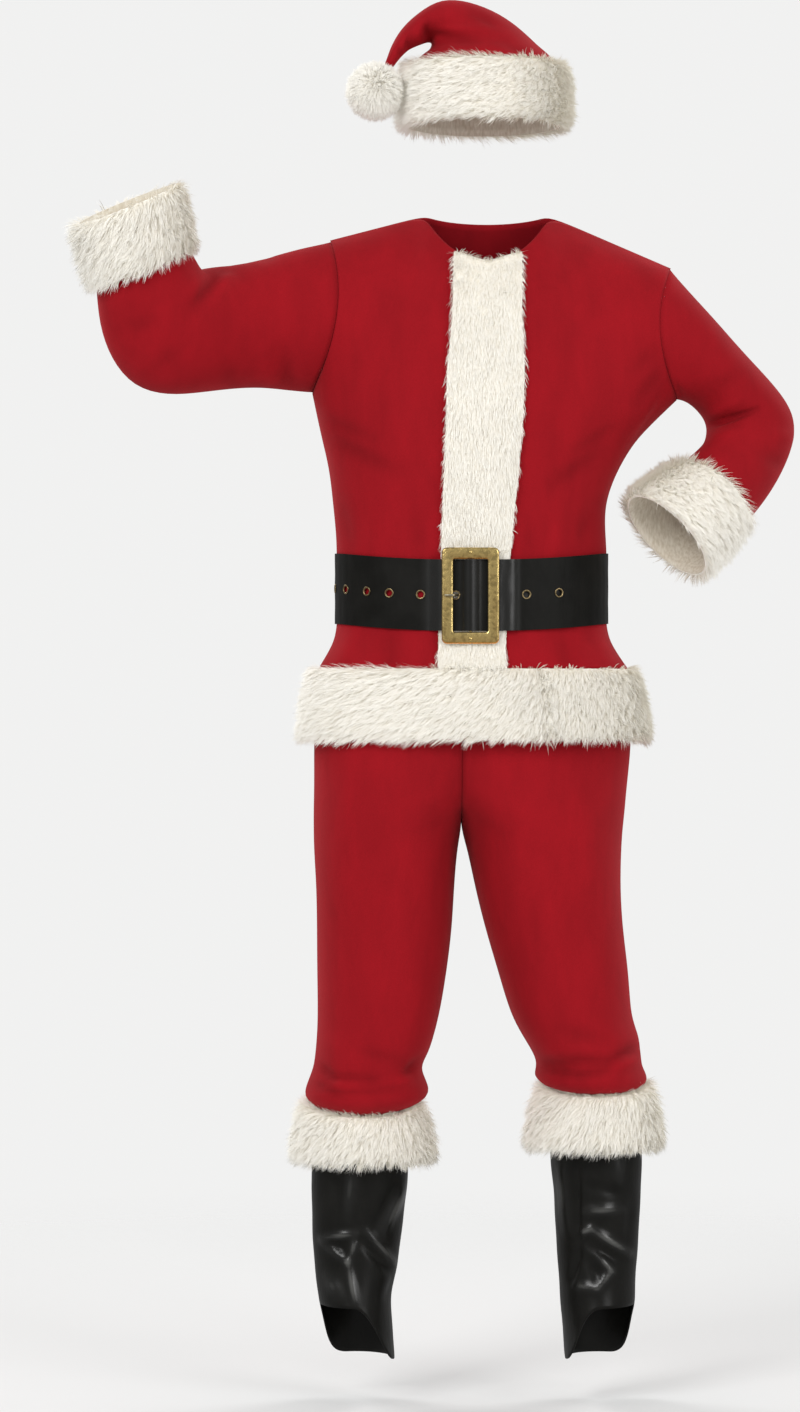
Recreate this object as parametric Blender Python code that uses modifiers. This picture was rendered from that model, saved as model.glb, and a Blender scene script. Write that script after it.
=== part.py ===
"""Santa suit: jacket, belt, trousers, boot tops and hat, hollow and held in the pose of a wearer.

Metres, +Z up, the front faces -Y. The origin is at the base of the neck. Right and left are the
wearer's, so the right side lies at -X. Outline tables are in pixels of the picture, PIXEL metres each.
"""
import math

import bpy
import bmesh
import numpy as np

PIXEL = 0.001365
NECK_PX = 487.0
NECK_PY = 215.0

CLOTH = 0.0020
VINYL = 0.0018
GAP = 0.0003
FUR = 0.013
FRONT_FUR = 0.0095
PRESSED_FUR = 0.0030
HAT_FUR = 0.018
LEG_FUR = 0.019

BELT_WIDTH = 0.0955
BELT_SIDE_Z = -0.5105
BELT_FRONT_DROP = 0.0116
BUCKLE_X = -0.0246
BUCKLE_Z = -0.5227
BUCKLE_HALF_WIDTH = 0.0385
BUCKLE_HALF_HEIGHT = 0.0643
BUCKLE_RAIL = 0.0155
BUCKLE_DEPTH = 0.0060
BUCKLE_RISE = 0.0104
BAR_RADIUS = 0.0018
BAR_RISE = 0.0125
STRAP_LIFT = 0.0072
PRONG_RADIUS = 0.0012
HOLE_RADIUS = 0.0053
EYELET_RADIUS = 0.0065
EYELET_BORE = 0.0043
EYELET_X = (-0.2042, -0.1895, -0.1615, -0.1321, -0.0907, -0.0440, 0.0055, 0.0495, 0.0923)
BELT_TIP_X = 0.1184

POMPOM_CENTRE = (-0.1525, -0.082, 0.159)
POMPOM_RADIUS = 0.036
CROWN_SINK = 0.0015

RED = (0.32, 0.010, 0.016, 1.0)
CREAM = (0.84, 0.80, 0.71, 1.0)
BLACK = (0.014, 0.013, 0.012, 1.0)
BRASS = (0.60, 0.44, 0.17, 1.0)


def px(x):
    return (x - NECK_PX) * PIXEL


def pz(y):
    return (NECK_PY - y) * PIXEL


def unit(vectors):
    length = np.linalg.norm(vectors, axis=-1, keepdims=True)
    return vectors / np.maximum(length, 1e-12)


def curve_through(rows, at):
    """Catmull-Rom values of a table's rows at fractional row numbers."""
    rows = np.asarray(rows, float)
    at = np.atleast_1d(np.asarray(at, float))
    first = np.clip(np.floor(at).astype(int), 0, len(rows) - 2)
    shape = (-1,) + (1,) * (rows.ndim - 1)
    t = (at - first).reshape(shape)
    padded = np.concatenate([[2 * rows[0] - rows[1]], rows, [2 * rows[-1] - rows[-2]]])
    a, b, c, d = (padded[first + k] for k in range(4))
    return 0.5 * (2 * b + (c - a) * t + (2 * a - 5 * b + 4 * c - d) * t**2 + (3 * b - a - 3 * c + d) * t**3)


def column_at(table, column, z):
    """One column of a table whose first column falls, read at heights z."""
    table = np.asarray(table, float)
    rows = np.interp(-np.asarray(z, float), -table[:, 0], np.arange(len(table)))
    flat = np.atleast_1d(rows).ravel()
    values = curve_through(table[:, column], flat)
    return values.reshape(np.shape(rows)) if np.ndim(rows) else float(values[0])


def bent(value, power):
    """The signed power that turns a circle into a superellipse."""
    return np.sign(value) * np.abs(value) ** power


def grid_normals(points, closed=False):
    """Unit normals of a grid of points, rows by columns, pointing where columns x rows points."""
    if closed:
        wide = np.concatenate([points[:, -1:], points, points[:, :1]], axis=1)
        along = wide[:, 2:] - wide[:, :-2]
    else:
        along = np.gradient(points, axis=1)
    across = np.gradient(points, axis=0)
    return unit(np.cross(along, across))


# Torso: height, right edge, left edge (pixels), front and back depth (metres)
TORSO = [(pz(y), px(left), px(right), front, back) for y, left, right, front, back in (
    (380, 312.0, 680.0, -0.123, 0.115),
    (400, 313.0, 677.0, -0.128, 0.115),
    (430, 320.0, 644.0, -0.131, 0.112),
    (470, 329.0, 618.0, -0.131, 0.107),
    (510, 333.5, 604.0, -0.128, 0.102),
    (545, 336.8, 606.0, -0.126, 0.100),
    (560, 336.8, 606.0, -0.126, 0.100),
    (625, 336.8, 606.0, -0.126, 0.100),
    (638, 336.0, 607.5, -0.126, 0.101),
    (669, 318.0, 628.0, -0.139, 0.122),
    (700, 311.0, 636.0, -0.150, 0.132),
    (742, 305.0, 642.0, -0.159, 0.141),
)]
TORSO_POWER = 2.0 / 2.3
JACKET_HEM = pz(669)
BAND_HEM = pz(738)
CHEST = -0.219


def torso_point(theta, z):
    """A point of the jacket's outer surface below the armholes; theta turns from the front to the left."""
    theta, z = np.broadcast_arrays(np.asarray(theta, float), np.asarray(z, float))
    low = column_at(TORSO, 1, z)
    high = column_at(TORSO, 2, z)
    front = column_at(TORSO, 3, z)
    back = column_at(TORSO, 4, z)
    middle = (low + high) / 2
    x = middle + (high - low) / 2 * bent(np.sin(theta), TORSO_POWER)
    cosine = bent(np.cos(theta), TORSO_POWER)
    y = np.where(cosine > 0, -0.006 + (front + 0.006) * cosine, -0.006 - (back + 0.006) * cosine)
    return np.stack([x, y, z], axis=-1)


def torso_normal(theta, z):
    step = 1e-3
    around = torso_point(theta + step, z) - torso_point(theta - step, z)
    up = torso_point(theta, np.asarray(z) + step) - torso_point(theta, np.asarray(z) - step)
    return unit(np.cross(around, up))


def front_angle(x, z):
    """The angle on the front of the torso whose point has this x."""
    angles = np.linspace(-1.45, 1.45, 400)
    return float(np.interp(x, torso_point(angles, z)[:, 0], angles))


# Edges of the fur band down the front (pixels)
FRONT_BAND = [(pz(y), px(left), px(right)) for y, left, right in (
    (262, 450.0, 524.0), (330, 448.0, 523.0), (430, 445.6, 519.6), (490, 443.0, 514.0),
    (550, 440.5, 508.5), (630, 438.0, 504.0), (668, 437.5, 503.5))]


def smooth_step(value, low, high):
    part = np.clip((np.asarray(value, float) - low) / (high - low), 0, 1)
    return part * part * (3 - 2 * part)


# Armholes: centre, half vector from centre to shoulder, and how far the edge lies in at front and back
ARMHOLE = {
    -1: dict(centre=(-0.2266, 0.005, -0.1385), up=(0.0123, 0.0, 0.1045)),
    1: dict(centre=(0.2553, 0.005, -0.1624), up=(-0.0041, 0.0, 0.0901)),
}
ARMHOLE_DEPTH = 0.082
ARMHOLE_FRONT_INSET = 0.024
ARMHOLE_BACK_INSET = 0.018
CORNER = -math.pi / 4


def armhole_point(side, psi):
    """The armhole's loop: psi is -90 degrees at the armpit, 0 in front, 90 at the shoulder, 180 behind."""
    psi = np.asarray(psi, float)
    hole = ARMHOLE[side]
    sine = np.sin(psi)[..., None]
    point = np.asarray(hole["centre"]) + np.asarray(hole["up"]) * sine
    facing = np.cos(psi)
    inset = np.where(facing > 0, ARMHOLE_FRONT_INSET, ARMHOLE_BACK_INSET) * facing**2
    point[..., 0] -= side * inset
    point[..., 1] -= ARMHOLE_DEPTH * facing
    return point


NECK_HALF = 0.085
NECK_BAND_HALF = 0.046
NECK_SIDE_Y = 0.010
NECK_FRONT = (-0.075, -0.075)
NECK_BACK = (0.060, -0.008)


def neck_point(side, part, front):
    """The neckline from its centre (part 0) to the shoulder seam (part 1)."""
    turn = np.asarray(part, float) * math.pi / 2
    deep, low = NECK_FRONT if front else NECK_BACK
    x = side * NECK_HALF * np.sin(turn)
    y = NECK_SIDE_Y + (deep - NECK_SIDE_Y) * np.cos(turn)
    z = low * np.cos(turn) ** 1.6
    return np.stack([x, y, z], axis=-1)


# Heights of the jacket's rows in pixels, hem to chest; the rows at 632 and 552 lie just past the belt
BODY_LINES = (669, 650, 632, 592, 552, 528, 503, 478, 455, 433, 412)
BODY_ROWS = len(BODY_LINES)
YOKE_ROWS = 6
BODY_COLUMNS = 9
YOKE_COLUMNS = 6
NECK_COLUMNS = 3
ARC_ANGLE = math.radians(70)


def column_angles(side, front, z):
    """Angles of a panel's columns: a front's first two run down the fur band's middle and its edge."""
    start = 0.0
    first = ARC_ANGLE / YOKE_COLUMNS
    if front:
        start = side * front_angle((band_edge(-1, z) + band_edge(1, z)) / 2, z)
        first = side * front_angle(band_edge(side, z), z)
    near = [start] + [first + (ARC_ANGLE - first) * k / (YOKE_COLUMNS - 1) for k in range(YOKE_COLUMNS)]
    steps = BODY_COLUMNS - YOKE_COLUMNS
    return np.array(near + [ARC_ANGLE + (math.pi / 2 - ARC_ANGLE) * (k + 1) / steps for k in range(steps)])


def band_edge(side, z):
    return column_at(FRONT_BAND, 1 if side < 0 else 2, z)


def panel_points(side, front):
    """Grid of a quarter of the jacket, hem to shoulder, from the middle line to the side.

    Past the armhole's lower corner the upper rows are absent; they hold nan.
    """
    columns = np.arange(BODY_COLUMNS + 1)
    inner = columns <= YOKE_COLUMNS
    psi = np.where(inner, CORNER, CORNER * (1 + (columns - YOKE_COLUMNS) / (BODY_COLUMNS - YOKE_COLUMNS)))
    psi_side = psi if front else math.pi - psi
    edge = armhole_point(side, psi_side)
    top = np.where(inner, CHEST + (edge[:, 2] - CHEST) * (columns / YOKE_COLUMNS) ** 2, edge[:, 2])
    level = pz(np.array(BODY_LINES, float))[:, None] + np.zeros(len(columns))
    ease = smooth_step(np.arange(BODY_ROWS), 5, BODY_ROWS)[:, None]
    z = np.concatenate([level + (top - CHEST)[None, :] * ease, top[None, :]])
    theta = np.array([column_angles(side, front, float(line)) for line in z[:, 0]])
    body = torso_point(side * theta if front else math.pi - side * theta, z)
    rows = np.arange(BODY_ROWS + 1) / BODY_ROWS
    shift = edge - body[-1]
    shift = shift * np.where(inner, (columns / YOKE_COLUMNS) ** 3, 1.0)[:, None]
    fall = np.clip((rows - 0.45) / 0.55, 0, 1) ** 2
    body = body + shift[None] * fall[:, None, None]

    v = np.arange(YOKE_ROWS + 1) / YOKE_ROWS
    u = np.arange(YOKE_COLUMNS + 1) / YOKE_COLUMNS
    bottom = body[-1, :YOKE_COLUMNS + 1]
    up_psi = CORNER + (math.pi / 2 - CORNER) * v
    outer = armhole_point(side, up_psi if front else math.pi - up_psi)
    first = math.asin(NECK_BAND_HALF / NECK_HALF) * 2 / math.pi if front else 1 / NECK_COLUMNS
    neck = neck_point(side, np.array([0.0, first, (1 + first) / 2, 1.0]), front)
    along = (np.arange(1, YOKE_COLUMNS - NECK_COLUMNS + 1) / (YOKE_COLUMNS - NECK_COLUMNS))[:, None]
    shoulder = neck[-1] + (outer[-1] - neck[-1]) * along
    upper = np.concatenate([neck, shoulder])
    middle = bottom[0] + (upper[0] - bottom[0]) * v[:, None]
    middle[:, 1] += (-0.012 if front else 0.016) * np.sin(math.pi * v)
    yoke = ((1 - v)[:, None, None] * bottom + v[:, None, None] * upper
            + (1 - u)[None, :, None] * middle[:, None] + u[None, :, None] * outer[:, None]
            - (1 - v)[:, None, None] * ((1 - u)[:, None] * bottom[0] + u[:, None] * bottom[-1])
            - v[:, None, None] * ((1 - u)[:, None] * upper[0] + u[:, None] * upper[-1]))
    grid = np.full((BODY_ROWS + YOKE_ROWS + 1, BODY_COLUMNS + 1, 3), np.nan)
    grid[:BODY_ROWS + 1] = body
    grid[BODY_ROWS:, :YOKE_COLUMNS + 1] = yoke
    return grid


def panel_faces(mask):
    rows, columns = mask.shape
    return [(i, j) for i in range(rows - 1) for j in range(columns - 1) if mask[i:i + 2, j:j + 2].all()]


def vertex_normals(points, faces, turn):
    """Area-weighted normals of a grid's points, from its own cells."""
    normals = np.zeros_like(points)
    for i, j in faces:
        a, b, c, d = points[i, j], points[i, j + 1], points[i + 1, j + 1], points[i + 1, j]
        face = np.cross(c - a, d - b) * turn
        for k in ((i, j), (i, j + 1), (i + 1, j + 1), (i + 1, j)):
            normals[k] += face
    return unit(normals)


def add_mesh(name, vertices, faces, material, smooth_angle=50.0):
    mesh = bpy.data.meshes.new(name)
    mesh.from_pydata([tuple(map(float, v)) for v in vertices], [], faces)
    mesh.validate()
    bm = bmesh.new()
    bm.from_mesh(mesh)
    bmesh.ops.recalc_face_normals(bm, faces=bm.faces)
    bm.to_mesh(mesh)
    bm.free()
    mesh.materials.append(material)
    mesh.shade_smooth()
    mesh.set_sharp_from_angle(angle=math.radians(smooth_angle))
    piece = bpy.data.objects.new(name, mesh)
    COLLECTION.objects.link(piece)
    return piece


def split(ring, vertices):
    """Cuts a four-sided cell along its shorter diagonal, so both faces of a wall fold the same way."""
    a, b, c, d = ring
    if np.linalg.norm(vertices[a] - vertices[c]) <= np.linalg.norm(vertices[b] - vertices[d]):
        return [a, b, c], [a, c, d]
    return [a, b, d], [b, c, d]


def add_wall(name, points, normals, material, thickness=CLOTH, closed=False, mask=None, rise=0.0):
    """A cloth wall on a grid of points: its outer face lies rise above them, its inner face lower."""
    points = np.asarray(points)
    rows, columns = points.shape[:2]
    mask = np.isfinite(points[..., 0]) if mask is None else mask
    rise = np.broadcast_to(np.asarray(rise, float), (rows, columns))
    outer = points + normals * rise[..., None]
    inner = outer - normals * thickness
    number = np.full((rows, columns), -1)
    number[mask] = np.arange(mask.sum())
    count = int(mask.sum())
    vertices = np.concatenate([outer[mask], inner[mask]])
    faces = []
    edges = {}
    last = columns if closed else columns - 1
    for i in range(rows - 1):
        for j in range(last):
            k = (j + 1) % columns
            ring = [number[i, j], number[i, k], number[i + 1, k], number[i + 1, j]]
            if min(ring) < 0:
                continue
            ring = [int(n) for n in ring]
            for corner in split(ring, vertices):
                faces.append(corner)
                faces.append([n + count for n in reversed(corner)])
            for a, b in zip(ring, ring[1:] + ring[:1]):
                edges[(a, b)] = True
    for a, b in edges:
        if (b, a) not in edges:
            faces.append([b, a, a + count, b + count])
    return add_mesh(name, vertices, faces, material)


def add_band(name, at, profile, columns, material, open_ends=False, swell=None):
    """A band of fur: a profile of (way along, height) pairs carried round a surface.

    at(u, v) gives points and normals for u from 0 to 1 round the band and v from 0 to 1 along it.
    """
    steps = np.arange(columns + 1) / columns if open_ends else np.arange(columns) / columns
    loops = []
    for along, height in profile:
        points, normals = at(steps, np.full(len(steps), along))
        extra = swell(steps, along) if swell and height > 0 else 0.0
        loops.append(points + normals * (height + extra)[:, None] if swell and height > 0
                     else points + normals * height)
    vertices = np.concatenate(loops)
    size = len(steps)
    count = len(profile)
    faces = []
    last = size - 1 if open_ends else size
    for p in range(count):
        q = (p + 1) % count
        for j in range(last):
            k = (j + 1) % size
            faces.append([p * size + j, p * size + k, q * size + k, q * size + j])
    if open_ends:
        faces.append([p * size for p in range(count)])
        faces.append([p * size + size - 1 for p in reversed(range(count))])
    return add_mesh(name, vertices, faces, material)


def fur_profile(thickness, back=0.0015, start=0.0, end=1.0, shoulder=0.45):
    """A pillow-like section: flat behind, rounded in front, its first edge as high as shoulder says."""
    shape = ((0.0, -back), (0.5, -back), (1.0, -back), (1.0, 0.45 * thickness), (0.93, 0.82 * thickness),
             (0.72, thickness), (0.28, thickness), (0.07, max(0.82, shoulder + 0.1) * thickness),
             (0.0, shoulder * thickness))
    return [(start + (end - start) * along, height) for along, height in shape]


def tufts(size, waves, phase=0.0):
    """A small uneven swell round a band, as tufts of fur give it."""
    def swell(u, along):
        turn = 2 * math.pi * u
        return size * (0.6 * np.sin(waves * turn + phase + 4 * along)
                       + 0.4 * np.sin((waves * 2 - 3) * turn + 1.3 + 7 * along))
    return swell


def make_material(name, colour, roughness, metallic=0.0, sheen=0.0):
    material = bpy.data.materials.new(name)
    material.use_nodes = True
    shader = material.node_tree.nodes["Principled BSDF"]
    shader.inputs["Base Color"].default_value = colour
    shader.inputs["Roughness"].default_value = roughness
    shader.inputs["Metallic"].default_value = metallic
    shader.inputs["Sheen Weight"].default_value = sheen
    return material


# Sleeve sections: shoulder-side edge, then underarm-side edge (pixels), depth of the middle line and half
# depth (metres)
SLEEVE = {
    -1: ((300, 247, 290, 392, -0.006, 0.079),
         (268, 258, 262, 389, -0.018, 0.076),
         (240, 266, 232, 391, -0.036, 0.073),
         (222, 268, 200, 396, -0.054, 0.072),
         (212, 272, 168, 400, -0.074, 0.072),
         (206, 276, 138, 393, -0.090, 0.071),
         (203, 272, 116, 366, -0.102, 0.070),
         (200, 266, 104, 331, -0.112, 0.068),
         (193, 256, 101, 293, -0.120, 0.065),
         (182, 195, 84, 234, -0.136, 0.066)),
    1: ((703, 307, 684, 400, 0.010, 0.078),
        (735, 341, 693, 404, 0.022, 0.074),
        (765, 370, 702, 413, 0.032, 0.071),
        (790, 398, 707, 421, 0.036, 0.069),
        (800, 424, 708, 430, 0.033, 0.068),
        (794, 452, 705, 443, 0.022, 0.067),
        (780, 480, 699, 451, 0.006, 0.066),
        (764, 505, 687, 460, -0.012, 0.065),
        (744, 527, 676, 468, -0.030, 0.064),
        (701, 575, 628, 500, -0.062, 0.066)),
}
SLEEVE_COLUMNS = 18


def armhole_angles():
    """The armhole's 18 points in order, from the armpit by the front to the shoulder and down the back."""
    arc = np.concatenate([np.linspace(-math.pi / 2, CORNER, 4), np.linspace(CORNER, math.pi / 2, 7)[1:]])
    return np.concatenate([arc, (math.pi - arc[::-1])[1:-1]])


def sleeve_rings(side):
    """Rings of 18 points down a sleeve; the last but one ends the cloth and the last ends the cuff."""
    psi = armhole_angles()
    rows = np.asarray(SLEEVE[side], float)
    top = np.stack([px(rows[:, 0]), rows[:, 4], pz(rows[:, 1])], axis=1)
    under = np.stack([px(rows[:, 2]), rows[:, 4], pz(rows[:, 3])], axis=1)
    middle = (top + under) / 2
    half = (top - under) / 2
    chain = np.concatenate([[ARMHOLE[side]["centre"]], middle])
    axis = unit(np.gradient(chain, axis=0))[1:]
    forward = unit(np.cross(axis, half))
    forward *= -np.sign(forward[:, 1:2])
    rings = [armhole_point(side, psi)]
    for k in range(len(rows)):
        deep = forward[k] * rows[k, 5]
        rings.append(middle[k] + half[k] * np.sin(psi)[:, None] + deep * np.cos(psi)[:, None])
    return np.array(rings)


def outward(points, normals):
    """Turns the normals of a grid of rings away from the rings' centres."""
    centre = points.mean(axis=1, keepdims=True)
    if np.sum((points - centre) * normals) < 0:
        normals = -normals
    return normals


def inset_rows(points, first=0.0, last=0.0):
    """Moves the first and last rows of a grid along it by these lengths."""
    points = points.copy()
    if first:
        points[0] += unit(points[1] - points[0]) * first
    if last:
        points[-1] += unit(points[-2] - points[-1]) * last
    return points


def set_back(grid, normals_mask, edge):
    """Moves one edge column of a grid towards its neighbour by half the seam's gap."""
    column, neighbour = edge
    both = normals_mask[:, column] & normals_mask[:, neighbour]
    way = unit(grid[both, neighbour] - grid[both, column])
    grid[both, column] += way * GAP / 2


def make_jacket(red):
    """Back, two fronts and two sleeves; the armhole's rims lie along the bisector of both surfaces."""
    sleeves = {}
    sleeve_normals = {}
    for side in (-1, 1):
        rings = sleeve_rings(side)
        sleeves[side] = rings
        sleeve_normals[side] = outward(rings, grid_normals(rings, closed=True))
    front = {side: panel_points(side, True) for side in (-1, 1)}
    back = {side: panel_points(side, False) for side in (-1, 1)}
    faces = panel_faces(np.isfinite(front[1][..., 0]))
    normals = {}
    for side in (-1, 1):
        normals[side, True] = vertex_normals(front[side], faces, side)
        normals[side, False] = vertex_normals(back[side], faces, -side)
    share_seams(normals, sleeve_normals)

    mask = np.isfinite(front[1][..., 0])
    for side, name in ((-1, "jacket_front_right"), (1, "jacket_front_left")):
        grid = trimmed(front[side], mask)
        set_back(grid, mask, (0, 1))
        add_wall(name, grid, normals[side, True], red)
    left = trimmed(back[1], mask)
    right = trimmed(back[-1], mask)
    whole = np.concatenate([right[:, :0:-1], left], axis=1)
    whole_normals = np.concatenate([normals[-1, False][:, :0:-1], normals[1, False]], axis=1)
    add_wall("jacket_back", whole, whole_normals, red)
    for side, name in ((-1, "sleeve_right"), (1, "sleeve_left")):
        cloth = inset_rows(sleeves[side][:-1], GAP * 0.7, GAP / 2)
        add_wall(name, cloth, sleeve_normals[side][:-1], red, closed=True)
    return front, back, normals, sleeves, sleeve_normals


def share_seams(normals, sleeve_normals):
    """Gives pieces that meet at a seam one normal there, so their rims are parallel."""
    top = BODY_ROWS + YOKE_ROWS
    for side in (-1, 1):
        front = normals[side, True]
        back = normals[side, False]
        for i in range(BODY_ROWS + 1):
            both = unit(front[i, BODY_COLUMNS] + back[i, BODY_COLUMNS])
            front[i, BODY_COLUMNS] = both
            back[i, BODY_COLUMNS] = both
        for j in range(NECK_COLUMNS, YOKE_COLUMNS + 1):
            both = unit(front[top, j] + back[top, j])
            front[top, j] = both
            back[top, j] = both
        loop = armhole_cells()
        for number, (is_front, i, j) in enumerate(loop):
            panel = front if is_front else back
            both = unit(panel[i, j] + sleeve_normals[side][0, number])
            panel[i, j] = both
            sleeve_normals[side][0, number] = both
        back[BODY_ROWS, BODY_COLUMNS] = front[BODY_ROWS, BODY_COLUMNS]
        back[top, YOKE_COLUMNS] = front[top, YOKE_COLUMNS]
        front[0, :, 2] = 0
        back[0, :, 2] = 0
        front[0] = unit(front[0])
        back[0] = unit(back[0])
    for is_front in (True, False):
        for i in range(top + 1):
            both = unit(normals[-1, is_front][i, 0] + normals[1, is_front][i, 0])
            normals[-1, is_front][i, 0] = both
            normals[1, is_front][i, 0] = both


def armhole_cells():
    """(front panel or not, row, column) of the panel's point at each of the armhole's 18 points."""
    under = [(BODY_ROWS, j) for j in range(BODY_COLUMNS, YOKE_COLUMNS, -1)]
    side = [(i, YOKE_COLUMNS) for i in range(BODY_ROWS, BODY_ROWS + YOKE_ROWS + 1)]
    front = [(True, i, j) for i, j in under + side]
    back = [(False, i, j) for i, j in (under + side)[::-1][1:-1]]
    return front + back


def trimmed(grid, mask):
    """Sets a panel's side, shoulder and armhole edges back by half a seam's gap."""
    grid = grid.copy()
    old = grid.copy()
    top = BODY_ROWS + YOKE_ROWS
    step = GAP / 2
    for i in range(BODY_ROWS + 1):
        grid[i, BODY_COLUMNS] += unit(old[i, BODY_COLUMNS - 1] - old[i, BODY_COLUMNS]) * step
    for i in range(BODY_ROWS, top + 1):
        grid[i, YOKE_COLUMNS] += unit(old[i, YOKE_COLUMNS - 1] - old[i, YOKE_COLUMNS]) * step
    for j in range(YOKE_COLUMNS, BODY_COLUMNS + 1):
        grid[BODY_ROWS, j] += unit(old[BODY_ROWS - 1, j] - old[BODY_ROWS, j]) * step
    for j in range(NECK_COLUMNS, YOKE_COLUMNS + 1):
        grid[top, j] += unit(old[top - 1, j] - old[top, j]) * step
    grid[0] += unit(old[1] - old[0]) * step
    return grid


def make_sleeve_cuffs(sleeves, sleeve_normals, fur):
    for side, name in ((-1, "sleeve_cuff_right"), (1, "sleeve_cuff_left")):
        first, last = sleeves[side][-2:]
        first_normal = sleeve_normals[side][-2]
        last_normal = sleeve_normals[side][-1]

        def at(u, v, a=first, b=last, na=first_normal, nb=last_normal):
            where = np.round(u * SLEEVE_COLUMNS).astype(int) % SLEEVE_COLUMNS
            length = np.linalg.norm(b[where] - a[where], axis=1)
            part = (v * (length - GAP / 2) + GAP / 2) / length
            points = a[where] + (b[where] - a[where]) * part[:, None]
            return points, unit(na[where] * (1 - v)[:, None] + nb[where] * v[:, None])
        add_band(name, at, fur_profile(0.009, back=CLOTH), SLEEVE_COLUMNS, fur, swell=tufts(0.0012, 5, side))


BAND_STAND = 0.00075
BAND_STAND_NECK = 0.0018


def pressed(z):
    """Height of the front band's fur: it lies flat under the belt and the buckle."""
    away = smooth_step(np.abs(np.asarray(z) - BUCKLE_Z), 0.068, 0.090)
    return PRESSED_FUR + (FRONT_FUR - PRESSED_FUR) * away


def make_front_band(fronts, normals, fur):
    """The band lies a gap above the two inner columns of both fronts."""
    parts = np.array([0.0, 0.12, 0.5, 1.0])
    half = {}
    for side in (-1, 1):
        grid = fronts[side]
        both = normals[side, True]
        points = grid[:, None, 1] + (grid[:, None, 0] - grid[:, None, 1]) * parts[:, None]
        leans = unit(both[:, None, 1] + (both[:, None, 0] - both[:, None, 1]) * parts[:, None])
        half[side] = (points, leans)
    points = np.concatenate([half[-1][0], half[1][0][:, -2::-1]], axis=1)
    leans = np.concatenate([half[-1][1], half[1][1][:, -2::-1]], axis=1)
    points = inset_rows(points, GAP, 0.004)
    leans[0, :, 2] = 0
    leans = unit(leans)
    across = np.concatenate([parts, parts[-2::-1]])
    round_off = 0.45 + 0.55 * np.sqrt(np.clip(across / 0.5, 0, 1))
    flat = smooth_step(np.abs(points[..., 2] - BUCKLE_Z), 0.068, 0.090)
    height = pressed(points[..., 2]) * (1 - flat * (1 - round_off[None, :]))
    stand = np.where(np.arange(len(points)) > BODY_ROWS, BAND_STAND_NECK, BAND_STAND)
    base = points + leans * stand[:, None, None]
    add_wall("front_fur_band", base + leans * height[..., None], leans, fur, thickness=height[..., None])


def make_hem_band(fronts, backs, fur):
    """One strip below the jacket's hem; its ends meet at the third column of the left front."""
    ring = np.concatenate([fronts[1][0, 2:], backs[1][0, -2::-1], backs[-1][0, 1:], fronts[-1][0, -2::-1],
                           fronts[1][0, 1:3]])
    angle = np.arctan2(ring[:, 0] - ring[:, 0].mean(), -ring[:, 1])
    low_z = np.full(len(ring), BAND_HEM)
    turns = [float(np.interp(value, *angle_table(BAND_HEM))) for value in angle]
    low = torso_point(np.array(turns), low_z)
    level = torso_normal(np.array(turns), np.full(len(ring), JACKET_HEM))
    level[:, 2] = 0
    level = unit(level)
    ring = ring.copy()
    for line in (ring, low):
        line[0] += unit(line[1] - line[0]) * GAP / 2
        line[-1] += unit(line[-2] - line[-1]) * GAP / 2
    count = len(ring) - 1

    def at(u, v):
        where = np.round(u * count).astype(int)
        start = ring[where] - np.array([0, 0, GAP / 2])
        return start * (1 - v)[:, None] + low[where] * v[:, None], level[where]
    add_band("hem_fur_band", at, fur_profile(FUR, back=CLOTH), count, fur, open_ends=True,
             swell=tufts(0.0016, 9))


def angle_table(z):
    """Directions seen from the middle of the torso, and the torso's own angles, at one height."""
    turns = np.linspace(-math.pi, math.pi, 721)
    points = torso_point(turns, np.full(turns.shape, z))
    centre = torso_point(np.array([0.0, math.pi]), np.full(2, z)).mean(axis=0)
    return np.arctan2(points[:, 0] - centre[0], -points[:, 1]), turns


def waist_ring():
    """Angles and points of the jacket's columns at the belt, from the back by the right to the left."""
    z = float(pz(592))
    angles = []
    for side, front in ((-1, True), (1, True), (1, False), (-1, False)):
        turn = column_angles(side, front, z)
        angles.extend(side * turn if front else side * (math.pi - turn))
    angles = sorted({round(float(angle), 9) for angle in angles if angle > -math.pi + 1e-6})
    angles = np.array([-math.pi] + angles)
    return angles, torso_point(angles, np.full(angles.shape, z))


def on_waist(angle):
    """A point on the jacket's own flat cells at the belt, and the level way out of it."""
    corners, points = WAIST
    turn = np.mod(np.asarray(angle, float) + math.pi, 2 * math.pi) - math.pi
    point = np.stack([np.interp(turn, corners, points[:, k]) for k in range(3)], axis=-1)
    normal = torso_normal(turn, np.full(turn.shape, pz(592)))
    normal[..., 2] = 0
    return point, unit(normal)


def waist_angle(x):
    """The angle on the front of the belt where the jacket's cells have this x."""
    corners, points = WAIST
    front = np.abs(corners) < 1.5
    return float(np.interp(x, points[front, 0], corners[front]))


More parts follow.
